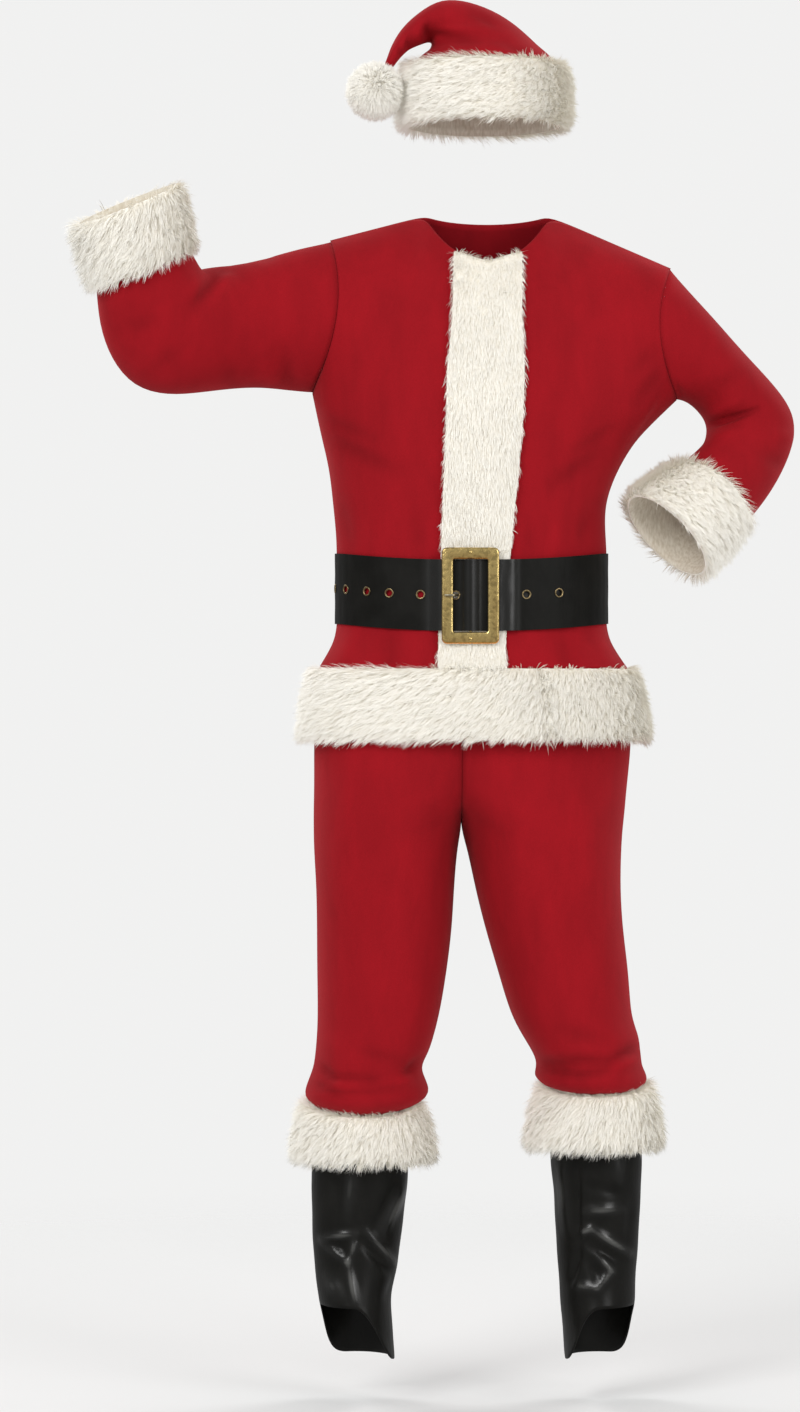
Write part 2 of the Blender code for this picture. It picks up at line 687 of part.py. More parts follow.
def belt_rise(angle):
    """Height of the strap's inner face above the jacket, by the angle travelled from the strap's start."""
    turn = np.asarray(angle, float)
    x = on_waist(turn)[0][..., 0]
    front = np.cos(turn) > 0
    middle = (band_edge(-1, pz(592)) + band_edge(1, pz(592))) / 2
    half = (band_edge(1, pz(592)) - band_edge(-1, pz(592))) / 2
    on_band = np.where(front, 1 - smooth_step(np.abs(x - middle), half + 0.003, half + 0.016), 0.0)
    rise = 0.0006 + (PRESSED_FUR + 0.0006) * on_band
    free = turn > math.pi
    over_start = smooth_step(x, BUCKLE_X - 0.014, BUCKLE_X + 0.001) * front
    over_bar = 1 - smooth_step(np.abs(x - BUCKLE_X), 0.0035, 0.0125)
    bar_top = BAR_RISE + BAR_RADIUS + GAP
    lifted = STRAP_LIFT * (1 - smooth_step(np.abs(x - BUCKLE_X), 0.0385, 0.0550)) * front
    low = np.maximum(rise + over_start * (VINYL + GAP), lifted)
    return np.where(free, np.where(front, low + (bar_top - low) * over_bar, low), rise)


def belt_middle(angle):
    return BELT_SIDE_Z - BELT_FRONT_DROP * np.clip(np.cos(angle), 0, 1) ** 2


# Where the strap's stations lie closer, away from the buckle's middle
STRAP_CLIMB = (0.0035, 0.0065, 0.0095, 0.0125, 0.0385, 0.044, 0.0495, 0.055)


def belt_angles():
    """The strap's stations: every column of the jacket, and closer ones where the strap climbs."""
    start = waist_angle(BUCKLE_X + BAR_RADIUS + 0.0022)
    tip = waist_angle(BELT_TIP_X) + 2 * math.pi
    corners = WAIST[0]
    turns = np.concatenate([corners, corners + 2 * math.pi])
    middle = (band_edge(-1, pz(592)) + band_edge(1, pz(592))) / 2
    half = (band_edge(1, pz(592)) - band_edge(-1, pz(592))) / 2
    steps = [middle + side * (half + out) for side in (-1, 1) for out in (0.003, 0.0095, 0.016)]
    climb = [BUCKLE_X + side * away for side in (-1, 1) for away in STRAP_CLIMB]
    first = [waist_angle(x) for x in steps if x > BUCKLE_X + 0.01]
    second = [waist_angle(x) + 2 * math.pi for x in steps + climb + [BUCKLE_X]]
    wanted = sorted([start, tip] + first + second + [turn for turn in turns if start < turn < tip])
    kept = [wanted[0]]
    fixed = set(turns)
    for turn in wanted[1:]:
        if turn - kept[-1] > 0.006:
            kept.append(turn)
        elif turn in fixed:
            kept[-1] = turn
    kept[-1] = tip
    return np.array(kept)


def make_belt(vinyl, cutters):
    """One spiral strip, cut through for its eyelets."""
    angle = belt_angles()
    point, normal = on_waist(angle)
    rows = []
    for part in (-0.5, 0.5):
        line = point.copy()
        line[:, 2] = belt_middle(angle) + BELT_WIDTH * part
        rows.append(line)
    strap = add_wall("belt_strap", np.array(rows), np.array([normal, normal]), vinyl, thickness=VINYL,
                     rise=(belt_rise(angle) + VINYL)[None, :])
    for number, (centre, way) in enumerate(eyelet_places(), 1):
        cutter = add_turned(f"belt_hole_{number}", ((0, -0.0019), (HOLE_RADIUS, -0.0019),
                                                    (HOLE_RADIUS, 0.0030), (0, 0.0030)), 12, None, cutters)
        place_on(cutter, centre, way)
        cutter.hide_render = True
        cutter.display_type = "WIRE"
        cut = strap.modifiers.new(f"hole_{number}", "BOOLEAN")
        cut.operation = "DIFFERENCE"
        cut.object = cutter


def eyelet_places():
    """Where each eyelet's axis crosses the middle of the strap's free layer, and its way out."""
    places = []
    for x in EYELET_X:
        turn = waist_angle(x) + 2 * math.pi
        near = np.array([turn - 0.02, turn, turn + 0.02])
        point, normal = on_waist(near)
        point = point + normal * (belt_rise(near) + VINYL / 2)[:, None]
        point[:, 2] = belt_middle(near)
        along = unit(point[2] - point[0])
        places.append((point[1], unit(np.cross(along, [0.0, 0.0, 1.0]))))
    return places


def add_turned(name, profile, steps, material, collection):
    """A closed solid turned about Z from (radius, height) pairs."""
    bm = bmesh.new()
    rings = []
    for radius, height in profile:
        if radius == 0:
            rings.append([bm.verts.new((0, 0, height))])
            continue
        turns = [2 * math.pi * k / steps for k in range(steps)]
        corners = [(radius * math.cos(turn), radius * math.sin(turn), height) for turn in turns]
        rings.append([bm.verts.new(corner) for corner in corners])
    hollow = all(len(ring) > 1 for ring in rings)
    pairs = list(zip(rings, rings[1:] + (rings[:1] if hollow else [])))
    if not hollow:
        pairs = pairs[:len(rings) - 1]
    for low, high in pairs:
        for k in range(steps):
            n = (k + 1) % steps
            corners = [low[k % len(low)], low[n % len(low)], high[n % len(high)], high[k % len(high)]]
            unique = list(dict.fromkeys(corners))
            if len(unique) > 2:
                bm.faces.new(unique)
    bmesh.ops.recalc_face_normals(bm, faces=bm.faces)
    mesh = bpy.data.meshes.new(name)
    bm.to_mesh(mesh)
    bm.free()
    if material:
        mesh.materials.append(material)
        mesh.shade_smooth()
        mesh.set_sharp_from_angle(angle=math.radians(50))
    piece = bpy.data.objects.new(name, mesh)
    collection.objects.link(piece)
    return piece


def place_on(piece, centre, normal):
    """Stands a turned piece at a point with its axis along a level normal."""
    piece.location = [float(value) for value in centre]
    piece.rotation_euler = (math.pi / 2, 0, math.atan2(float(normal[0]), -float(normal[1])))


def make_eyelets(brass):
    barrel = HOLE_RADIUS - GAP
    back = -VINYL / 2
    front = VINYL / 2 + GAP
    profile = ((EYELET_BORE, back), (EYELET_BORE + 0.0002, front + 0.0009), (EYELET_RADIUS, front + 0.0003),
               (EYELET_RADIUS - 0.0002, front), (barrel, front), (barrel, back))
    for number, (centre, normal) in enumerate(eyelet_places(), 1):
        eyelet = add_turned(f"eyelet_{number}", profile, 10, brass, COLLECTION)
        place_on(eyelet, centre, normal)


def buckle_point(x, rise, z=0.0):
    """A place at the buckle: x and z from its middle, and a height above the jacket."""
    return (BUCKLE_X + x, JACKET_FRONT - rise, BUCKLE_Z + z)


def box_mesh(half_x, half_y, half_z, middle):
    bm = bmesh.new()
    bmesh.ops.create_cube(bm, size=2.0)
    bmesh.ops.scale(bm, verts=bm.verts, vec=(half_x, half_y, half_z))
    bmesh.ops.translate(bm, verts=bm.verts, vec=middle)
    return bm


def make_buckle(brass):
    """A bevelled frame, its centre bar, and the prong through the sixth eyelet that rests on the frame."""
    middle = buckle_point(0.0, BUCKLE_RISE + BUCKLE_DEPTH / 2)
    bm = box_mesh(BUCKLE_HALF_WIDTH, BUCKLE_DEPTH / 2, BUCKLE_HALF_HEIGHT, middle)
    corners = [edge for edge in bm.edges if abs(edge.verts[0].co.y - edge.verts[1].co.y) > BUCKLE_DEPTH / 2]
    bmesh.ops.bevel(bm, geom=corners, offset=0.007, segments=3, profile=0.5, affect="EDGES", material=-1)
    frame = finish_mesh("buckle_frame", bm, brass, COLLECTION)
    window = finish_mesh("buckle_window", box_mesh(BUCKLE_HALF_WIDTH - BUCKLE_RAIL, BUCKLE_DEPTH,
                                                   BUCKLE_HALF_HEIGHT - BUCKLE_RAIL, middle), brass, CUTTERS)
    window.hide_render = True
    window.display_type = "WIRE"
    cut = frame.modifiers.new("window", "BOOLEAN")
    cut.operation = "DIFFERENCE"
    cut.object = window
    bevel = frame.modifiers.new("edges", "BEVEL")
    bevel.width = 0.0016
    bevel.segments = 1
    bevel.limit_method = "ANGLE"
    bevel.angle_limit = math.radians(50)

    half = BUCKLE_HALF_HEIGHT - BUCKLE_RAIL - GAP
    bar = add_turned("buckle_bar", ((0, -half), (BAR_RADIUS, -half), (BAR_RADIUS, half), (0, half)), 10,
                     brass, COLLECTION)
    bar.location = buckle_point(0.0, BAR_RISE)

    route = ((-0.0030, 0.0110), (-0.0058, 0.0082), (-0.0088, 0.0060), (-0.0120, 0.0049), (-0.0165, 0.0046),
             (-0.0190, 0.0066), (-0.0202, 0.0110), (-0.0209, 0.0156), (-0.0224, 0.0180), (-0.0260, 0.0186),
             (-0.0310, 0.0182), (-0.0345, 0.0180))
    curve = bpy.data.curves.new("buckle_prong", "CURVE")
    curve.dimensions = "3D"
    curve.bevel_depth = PRONG_RADIUS
    curve.bevel_resolution = 2
    curve.use_fill_caps = True
    line = curve.splines.new("POLY")
    line.points.add(len(route) - 1)
    for point, (x, rise) in zip(line.points, route):
        point.co = (*buckle_point(x, rise, belt_middle(0.0) - BUCKLE_Z), 1.0)
    curve.materials.append(brass)
    COLLECTION.objects.link(bpy.data.objects.new("buckle_prong", curve))


def finish_mesh(name, bm, material, collection):
    bmesh.ops.recalc_face_normals(bm, faces=bm.faces)
    mesh = bpy.data.meshes.new(name)
    bm.to_mesh(mesh)
    bm.free()
    mesh.materials.append(material)
    mesh.shade_smooth()
    mesh.set_sharp_from_angle(angle=math.radians(40))
    piece = bpy.data.objects.new(name, mesh)
    collection.objects.link(piece)
    return piece


# Trousers above the crotch: height, right leg's outer edge, left leg's outer edge, seam plane (pixels),
# cut ratio, front and back depth
HIPS = (
    (632, 341.0, 601.5, 470.5, 0.005, -0.1185, 0.0900),
    (655, 331.0, 614.5, 468.0, 0.015, -0.1235, 0.1020),
    (680, 320.5, 625.0, 464.5, 0.035, -0.1310, 0.1130),
    (706, 316.0, 628.5, 462.0, 0.080, -0.1375, 0.1200),
    (742, 313.0, 631.5, 461.0, 0.265, -0.1420, 0.1260),
    (768, 313.0, 629.0, 461.0, 0.430, -0.1420, 0.1270),
    (792, 313.0, 626.5, 461.0, 0.620, -0.1400, 0.1270),
    (812, 312.5, 625.0, 461.0, 0.820, -0.1370, 0.1260),
    (830, 312.2, 623.5, 461.0, 1.000, -0.1340, 0.1250),
)
# Legs below the crotch: the right and the left leg's height, how much lower the front lies, right leg's outer and
# inner edge, left leg's inner and outer edge (pixels), front and back depth
LEGS = (
    (850, 850, 0, 312.5, 457.0, 467.5, 622.5, -0.1310, 0.1230),
    (888, 888, 0, 315.0, 454.0, 475.0, 622.0, -0.1250, 0.1190),
    (930, 930, 0, 316.0, 452.0, 485.5, 624.0, -0.1180, 0.1150),
    (972, 966, 0, 316.0, 446.5, 496.5, 628.5, -0.1120, 0.1110),
    (1006, 996, 0, 316.0, 441.0, 505.0, 630.5, -0.1080, 0.1080),
    (1032, 1019, 0, 315.5, 435.0, 513.0, 632.5, -0.1085, 0.1085),
    (1052, 1038, 0, 314.0, 428.5, 524.0, 640.5, -0.1130, 0.1120),
    (1067, 1058, 1, 312.5, 419.5, 536.5, 640.5, -0.1080, 0.1080),
    (1081, 1068, 5, 306.5, 427.0, 535.5, 643.0, -0.1090, 0.1080),
    (1095, 1078, 10, 302.0, 431.0, 533.0, 649.0, -0.1020, 0.1010),
)
LEG_POWER = 2.0 / 2.2
LEG_COLUMNS = 18
LEG_SHIFT = -0.004
WAIST_TOP = pz(568)
WAIST_BOTTOM = pz(606)
# Leg cuffs by side: height of the upper edge, how much lower it lies in front, height of the lower edge (pixels)
CUFF_HEIGHTS = {-1: (1101, 11, 1156), 1: (1084, 7, 1143)}
CUFF_STAND = 0.010
CUFF_INNER_STAND = 0.007


def column_shares():
    """Shares of a leg's way round at its columns: as the jacket's columns lie, and even."""
    quarter = column_angles(1, False, float(pz(592))) / math.pi
    return np.concatenate([quarter, 1 - quarter[-2::-1]]), np.arange(LEG_COLUMNS + 1) / LEG_COLUMNS


def hip_section(side, row, shares):
    """A section above the crotch, from the front seam round the outside to the back seam."""
    height, right, left, seam, cut, front, back = row
    outer = px(right if side < 0 else left)
    middle = px(seam)
    half = abs(outer - middle) / (1 + cut)
    start = math.acos(cut ** (1 / LEG_POWER))
    phi = start + (2 * math.pi - 2 * start) * shares
    return leg_ring(side, phi, middle + side * cut * half, half, front, back, pz(height))


def leg_section(side, row, shares):
    """A section below the crotch, all round from the inner seam."""
    right, left, dip, right_out, right_in, left_in, left_out, front, back = row
    outer, inner = (px(right_out), px(right_in)) if side < 0 else (px(left_out), px(left_in))
    middle = (outer + inner) / 2
    phi = 2 * math.pi * shares
    height = pz((right if side < 0 else left) + dip * np.clip(np.sin(phi), 0, 1))
    return leg_ring(side, phi, middle, abs(outer - inner) / 2, front, back, height)


def leg_ring(side, phi, centre, half, front, back, z):
    x = centre - side * half * bent(np.cos(phi), LEG_POWER)
    sine = bent(np.sin(phi), LEG_POWER)
    y = np.where(sine > 0, front * sine, -back * sine) + LEG_SHIFT
    return np.stack([x, y, np.broadcast_to(z, x.shape)], axis=-1)


def waist_section(side, shares):
    """The trousers' top edge: the jacket's own cells at the waist, a cloth and a gap further in."""
    turn = shares * math.pi
    point, normal = on_waist(side * turn)
    point = point - normal * (CLOTH + 2 * GAP)
    point[:, 2] = WAIST_BOTTOM
    return point


def cuff_ring(side):
    """The leg's last section, round the boot top."""
    phi = 2 * math.pi * np.arange(LEG_COLUMNS) / LEG_COLUMNS
    top, dip = CUFF_HEIGHTS[side][:2]
    ring = boot_point(side, phi, pz(top + dip * np.clip(np.sin(phi), 0, 1)))
    way = ring - ring.mean(axis=0)
    way[:, 2] = 0
    return ring + unit(way) * (CLOTH + 2 * GAP), unit(way)


def leg_points(side):
    packed, even = column_shares()
    rows = [waist_section(side, packed)]
    for number, row in enumerate(HIPS):
        part = min(1.0, (number + 1) / 6)
        rows.append(hip_section(side, row, packed + (even - packed) * part))
    rows.extend(leg_section(side, row, even) for row in LEGS)
    last = cuff_ring(side)[0]
    rows.append(np.concatenate([last, last[:1]]))
    return np.array(rows)


def make_trousers(red, fur):
    for side, name in ((-1, "right"), (1, "left")):
        points = leg_points(side)
        wide = np.concatenate([points[:, -2:-1], points, points[:, 1:2]], axis=1)
        below = len(HIPS)
        normals = unit(np.cross(np.gradient(points, axis=1), np.gradient(points, axis=0)))
        all_round = unit(np.cross(np.gradient(wide, axis=1), np.gradient(wide, axis=0)))[:, 1:-1]
        normals[below:] = all_round[below:]
        normals = outward(points, normals)
        for column, sign in ((0, 1), (-1, -1)):
            edge = np.gradient(points[:below + 1, column], axis=0)
            normals[:below + 1, column] = unit(sign * np.cross(edge, [1.0, 0.0, 0.0]))
            normals[below, column] = unit(np.array([-side, 0.0, -1.0]))
        normals[0, :, 2] = 0
        normals[-1, :-1] = cuff_ring(side)[1]
        normals[-1, -1] = normals[-1, 0]
        normals = unit(normals)
        cloth = points.copy()
        cloth[:, 0] += unit(points[:, 1] - points[:, 0]) * GAP / 2
        cloth[:, -1] += unit(points[:, -2] - points[:, -1]) * GAP / 2
        cloth = inset_rows(cloth, GAP / 2, GAP / 2)
        add_wall(f"trouser_leg_{name}", cloth, normals, red)
        make_leg_cuff(side, f"leg_cuff_{name}", fur)
    corners = WAIST[0]

    def at(u, v):
        where = np.round(u * len(corners)).astype(int) % len(corners)
        point, normal = on_waist(corners[where])
        point[:, 2] = WAIST_BOTTOM + GAP / 2 + (WAIST_TOP - WAIST_BOTTOM) * v
        return point, normal
    top = -(CLOTH + GAP + 0.0001)
    profile = ((0, top), (1, top), (1, top - 0.0028), (0, top - 0.0028))
    add_band("trouser_waistband", at, profile, len(corners), red)


# Boot tops: height, right boot's outer and inner edge, left boot's inner and outer edge (pixels), front and
# back depth
BOOTS = (
    (1068, 317.0, 408.0, 552.5, 636.5, -0.0655, 0.0660),
    (1100, 315.0, 408.5, 551.5, 640.5, -0.0655, 0.0660),
    (1164, 311.0, 410.0, 549.0, 643.0, -0.0660, 0.0670),
    (1200, 310.0, 406.0, 554.0, 641.0, -0.0640, 0.0660),
    (1236, 312.0, 402.0, 555.0, 639.0, -0.0620, 0.0630),
    (1272, 314.0, 398.0, 557.0, 636.0, -0.0640, 0.0600),
    (1300, 319.0, 390.0, 560.0, 635.0, -0.0720, 0.0590),
    (1330, 320.0, 394.0, 562.0, 635.0, -0.0830, 0.0620),
    (1358, 316.0, 395.5, 564.0, 640.0, -0.0930, 0.0660),
)
BOOT_TOPS = {-1: pz(1086), 1: pz(1070)}
BOOT_ARCH = pz(1302)
BOOT_HEEL = pz(1357)
TOE_TURN = math.radians(40)
BOOT_COLUMNS = 18
BOOT_ROWS = 9


def boot_point(side, phi, z):
    """A point of a boot top: phi is 0 on the inner side, 90 degrees in front."""
    phi, z = np.broadcast_arrays(np.asarray(phi, float), np.asarray(z, float))
    table = np.array([(pz(row[0]),) + tuple(px(value) for value in row[1:5]) + row[5:] for row in BOOTS])
    outer = column_at(table, 1 if side < 0 else 4, z)
    inner = column_at(table, 2 if side < 0 else 3, z)
    front = column_at(table, 5, z)
    back = column_at(table, 6, z)
    x = (outer + inner) / 2 + (inner - outer) / 2 * np.cos(phi)
    y = np.where(np.sin(phi) > 0, front * np.sin(phi), -back * np.sin(phi)) - 0.004
    return np.stack([x, y, z], axis=-1)


def boot_hem(phi):
    """Height of the lower edge: an arch over the instep, low round the heel."""
    toe = math.pi / 2 + TOE_TURN
    away = np.abs(np.mod(np.asarray(phi) - toe + math.pi, 2 * math.pi) - math.pi)
    return BOOT_ARCH + (BOOT_HEEL - BOOT_ARCH) * smooth_step(away, math.radians(50), math.radians(108))


def boot_grid(side):
    phi = 2 * math.pi * np.arange(BOOT_COLUMNS) / BOOT_COLUMNS
    top = BOOT_TOPS[side]
    rows = np.arange(BOOT_ROWS + 1) / BOOT_ROWS
    z = top + (boot_hem(phi)[None, :] - top) * rows[:, None]
    return boot_point(side, phi[None, :], z)


def make_boot_tops(vinyl):
    for side, name in ((-1, "boot_top_right"), (1, "boot_top_left")):
        points = boot_grid(side)
        normals = outward(points, grid_normals(points, closed=True))
        add_wall(name, points, normals, vinyl, thickness=VINYL, closed=True)


def make_leg_cuff(side, name, fur):
    """The cuff grips the boot top at its upper edge and stands away from it below."""
    top, out = cuff_ring(side)
    phi = 2 * math.pi * np.arange(LEG_COLUMNS) / LEG_COLUMNS
    low = boot_point(side, phi, np.full(LEG_COLUMNS, pz(CUFF_HEIGHTS[side][2])))
    stand = CUFF_STAND + CUFF_INNER_STAND * np.clip(np.cos(phi), 0, 1)
    low = low + out * (CLOTH + stand)[:, None]
    top = top - np.array([0, 0, GAP])

    def at(u, v):
        where = np.round(u * LEG_COLUMNS).astype(int) % LEG_COLUMNS
        return top[where] * (1 - v)[:, None] + low[where] * v[:, None], out[where]
    profile = fur_profile(LEG_FUR, back=CLOTH, shoulder=0.78)
    add_band(name, at, profile, LEG_COLUMNS, fur, swell=tufts(0.0015, 5, side))


# Hat crown sections: one edge and the other (pixels), depth of the middle line and half depth (metres)
HAT = (
    (410.5, 67.0, 556.5, 67.0, -0.020, 0.108),
    (421.0, 58.0, 548.0, 57.0, -0.020, 0.098),
    (428.5, 53.0, 538.5, 50.0, -0.020, 0.087),
    (430.0, 50.0, 524.0, 35.0, -0.021, 0.078),
    (431.0, 47.5, 501.0, 17.0, -0.023, 0.067),
    (431.0, 46.5, 470.0, 4.5, -0.027, 0.056),
    (430.0, 46.0, 441.0, 2.0, -0.034, 0.046),
    (425.0, 47.5, 419.0, 17.0, -0.045, 0.037),
    (416.5, 51.5, 402.0, 33.0, -0.056, 0.029),
    (407.5, 57.5, 392.0, 50.0, -0.066, 0.021),
    (401.0, 64.5, 388.0, 61.5, -0.074, 0.014),
)
HAT_COLUMNS = 24
BAND_BOTTOM = 0.118
BAND_TOP = 0.200
HAT_CENTRE = (-0.0048, -0.020)
BAND_HALF_LOW = (0.1020, 0.1120)
BAND_HALF_HIGH = (0.0996, 0.1080)


def hat_rings():
    rows = np.asarray(HAT, float)
    one = np.stack([px(rows[:, 0]), rows[:, 4], pz(rows[:, 1])], axis=1)
    other = np.stack([px(rows[:, 2]), rows[:, 4], pz(rows[:, 3])], axis=1)
    middle = (one + other) / 2
    half = (other - one) / 2
    turn = 2 * math.pi * np.arange(HAT_COLUMNS) / HAT_COLUMNS
    rings = []
    for k in range(len(rows)):
        depth = np.array([0.0, rows[k, 5], 0.0])
        rings.append(middle[k] + half[k] * np.cos(turn)[:, None] + depth * np.sin(turn)[:, None])
    centre = np.array(POMPOM_CENTRE)
    way = unit(middle[-1] - centre)
    across = unit(half[-1] - way * (half[-1] @ way))
    third = np.cross(way, across)
    third *= np.sign(third[1])
    end = centre + way * (POMPOM_RADIUS - CROWN_SINK)
    rings.append(end + 0.0055 * (across * np.cos(turn)[:, None] + third * np.sin(turn)[:, None]))
    return np.array(rings)


def make_hat(red, fur):
    points = hat_rings()
    normals = grid_normals(points, closed=True)
    normals = outward(points, normals)
    add_wall("hat_crown", inset_rows(points, GAP / 2), normals, red, closed=True)

    def at(u, v):
        turn = 2 * math.pi * u
        low = np.array(BAND_HALF_LOW)
        high = np.array(BAND_HALF_HIGH)
        half = low + (high - low) * v[:, None]
        x = HAT_CENTRE[0] + half[:, 0] * np.cos(turn)
        y = HAT_CENTRE[1] + half[:, 1] * np.sin(turn)
        z = BAND_BOTTOM + (BAND_TOP - BAND_BOTTOM) * v
        level = np.zeros(len(u))
        normal = unit(np.stack([np.cos(turn) * half[:, 1], np.sin(turn) * half[:, 0], level], axis=-1))
        return np.stack([x, y, z], axis=-1), normal
    add_band("hat_band", at, fur_profile(HAT_FUR - 0.001, back=CLOTH), 30, fur, swell=tufts(0.0014, 7))

    bm = bmesh.new()
    bmesh.ops.create_icosphere(bm, subdivisions=2, radius=POMPOM_RADIUS * 0.86)
    base = bm.faces[:]
    bmesh.ops.inset_individual(bm, faces=base, thickness=0.0012, depth=0.0)
    locks = bmesh.ops.poke(bm, faces=base)
    for vert in locks["verts"]:
        vert.co = vert.co.normalized() * POMPOM_RADIUS
    bmesh.ops.translate(bm, verts=bm.verts, vec=POMPOM_CENTRE)
    finish_mesh("hat_pompom", bm, fur, COLLECTION)


def new_collection(name):
    collection = bpy.data.collections.new(name)
    bpy.context.scene.collection.children.link(collection)
    return collection


WAIST = waist_ring()
JACKET_FRONT = float(on_waist(np.array([0.0]))[0][0, 1])

for old in list(bpy.data.objects):
    bpy.data.objects.remove(old, do_unlink=True)
COLLECTION = new_collection("santa_suit")
CUTTERS = new_collection("cutters")


def main():
    red = make_material("red_cloth", RED, 0.85, sheen=0.5)
    fur = make_material("white_fur", CREAM, 0.95, sheen=0.3)
    vinyl = make_material("black_vinyl", BLACK, 0.32)
    brass = make_material("brass", BRASS, 0.28, metallic=1.0)
    fronts, backs, normals, sleeves, sleeve_normals = make_jacket(red)
    make_sleeve_cuffs(sleeves, sleeve_normals, fur)
    make_front_band(fronts, normals, fur)
    make_hem_band(fronts, backs, fur)
    make_belt(vinyl, CUTTERS)
    make_eyelets(brass)
    make_buckle(brass)
    make_trousers(red, fur)
    make_boot_tops(vinyl)
    make_hat(red, fur)


main()
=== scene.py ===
"""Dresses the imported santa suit: velour with its folds, long fur, vinyl belt and boot tops, brass buckle."""
import math

import bmesh
import bpy
import numpy as np
from bpy.props import FloatProperty, FloatVectorProperty, IntProperty, PointerProperty
from mathutils import Matrix, Vector
from mathutils.kdtree import KDTree


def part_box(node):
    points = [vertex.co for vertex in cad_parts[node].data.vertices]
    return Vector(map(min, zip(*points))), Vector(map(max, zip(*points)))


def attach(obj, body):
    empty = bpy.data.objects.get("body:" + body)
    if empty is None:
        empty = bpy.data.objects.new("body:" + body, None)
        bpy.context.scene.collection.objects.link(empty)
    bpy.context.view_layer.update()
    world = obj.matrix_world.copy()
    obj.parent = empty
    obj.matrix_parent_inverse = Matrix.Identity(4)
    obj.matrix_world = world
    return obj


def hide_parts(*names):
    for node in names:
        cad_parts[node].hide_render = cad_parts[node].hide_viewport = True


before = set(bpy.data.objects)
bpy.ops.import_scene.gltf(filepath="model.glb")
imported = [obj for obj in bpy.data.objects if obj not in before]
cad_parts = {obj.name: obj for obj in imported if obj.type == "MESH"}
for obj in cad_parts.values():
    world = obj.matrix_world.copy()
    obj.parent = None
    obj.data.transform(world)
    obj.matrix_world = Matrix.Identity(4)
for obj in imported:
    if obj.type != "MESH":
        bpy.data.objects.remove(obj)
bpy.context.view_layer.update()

bl_info = {
    "name": "Santa suit",
    "version": (1, 0, 0),
    "blender": (4, 5, 0),
    "location": "View3D > Sidebar > Santa suit",
    "description": "Builds the cloth, fur, belt and boot tops of a santa suit round its solids",
    "category": "Object",
}

# The picture's scale (metres a pixel) and size, its column at the neck, where x is 0, and the camera
PIXEL = 0.001365
PICTURE_WIDTH = 800
PICTURE_HEIGHT = 1412
NECK_PX = 487.0
CAMERA = Vector((-0.1188, -6.5, -0.6702))
SENSOR = 36.0
# The floor's height and half width
FLOOR_Z = -1.618
FLOOR_REACH = 3.4
# The surround: its strength, and its shade as the camera sees it and as it mirrors
WORLD_LIGHT = 0.66
SURROUND = (0.88, 0.88, 0.875)
MIRRORED = (0.46, 0.46, 0.46, 1.0)
# The point that the lights look at, and the lights: place, size and power
SUIT_MIDDLE = Vector((-0.06, 0.0, -0.65))
LIGHTS = {
    "key": ((-2.6, -4.6, 2.2), 2.2, 150.0),
    "fill": ((3.4, -4.2, 0.9), 2.6, 90.0),
    "back_left": ((-2.6, 2.4, 1.6), 1.6, 50.0),
    "back_right": ((2.6, 2.4, 1.6), 1.6, 50.0),
}
# How close two corners of a node lie that are one
MERGE = 2e-5
EYELETS = tuple(f"eyelet_{number}" for number in range(1, 10))


def length(name, description, default):
    return FloatProperty(name=name, description=description, default=default, unit="LENGTH")


def tint(name, description, colour):
    return FloatVectorProperty(name=name, description=description, default=colour + (1.0,), size=4,
                               subtype="COLOR")


class SuitSizes(bpy.types.PropertyGroup):
    """Sizes of the cloth, the fur and the belt."""
    cloth: length("Cloth thickness", "Thickness of the velour", 0.002)
    vinyl: length("Vinyl thickness", "Thickness of belt and boot tops", 0.0018)
    pile: length("Fur length", "Length of the strands on cuffs, hem and hat", 0.021)
    front_pile: length("Front fur length", "Length of the strands down the front", 0.013)
    strand: length("Strand width", "Width of a strand at its root", 0.00084)
    density: FloatProperty(name="Fur density", description="Strands for each square centimetre", default=47.0)
    fold: FloatProperty(name="Fold depth", description="Share of the folds' heights", default=1.6)
    seed: IntProperty(name="Seed", description="Start of the random draws", default=11)


class SuitColours(bpy.types.PropertyGroup):
    """Colours of the suit's materials."""
    red: tint("Red", "Velour", (0.358, 0.0056, 0.0120))
    red_dark: tint("Red against the nap", "Velour seen against its nap", (0.255, 0.0042, 0.0090))
    fur: tint("Fur", "Tips of the strands", (0.93, 0.90, 0.825))
    # fur_dark: painted shade at the strands' roots, and the fur's own darker grain on its base and its knitted
    # back
    fur_dark: tint("Fur shade and grain", "Painted shade at the strands' roots, and the darker grain of the fur and its back", (0.80, 0.745, 0.635))
    backing: tint("Backing", "Knitted back of the fur", (0.62, 0.55, 0.43))
    vinyl: tint("Vinyl", "Belt and boot tops", (0.0068, 0.0066, 0.0056))
    brass: tint("Brass", "Buckle", (0.86, 0.64, 0.25))
    antique: tint("Antique brass", "Eyelets", (0.36, 0.27, 0.14))


def sizes():
    return bpy.context.scene.suit_sizes


def colours():
    return bpy.context.scene.suit_colours


def unit(vectors):
    return vectors / np.maximum(np.linalg.norm(vectors, axis=-1, keepdims=True), 1e-12)


def smooth_step(value, low, high):
    part = np.clip((np.asarray(value, float) - low) / (high - low), 0, 1)
    return part * part * (3 - 2 * part)


def pictured(points):
    """Where the camera sees these points, in the picture's pixels."""
    depth = (points[:, 1] - CAMERA.y) / -CAMERA.y
    x = PICTURE_WIDTH / 2 + (points[:, 0] - CAMERA.x) / (PIXEL * depth)
    y = PICTURE_HEIGHT / 2 - (points[:, 2] - CAMERA.z) / (PIXEL * depth)
    return np.stack([x, y], axis=1)


def rowwise(text):
    """Rows of numbers from a short table in words."""
    return np.array([[float(word) for word in line.split()] for line in text.strip().splitlines()])


def vectors_of(items, name):
    """One vector of each item, as rows."""
    values = np.empty(len(items) * 3, np.float32)
    items.foreach_get(name, values)
    return values.reshape(-1, 3).astype(float)


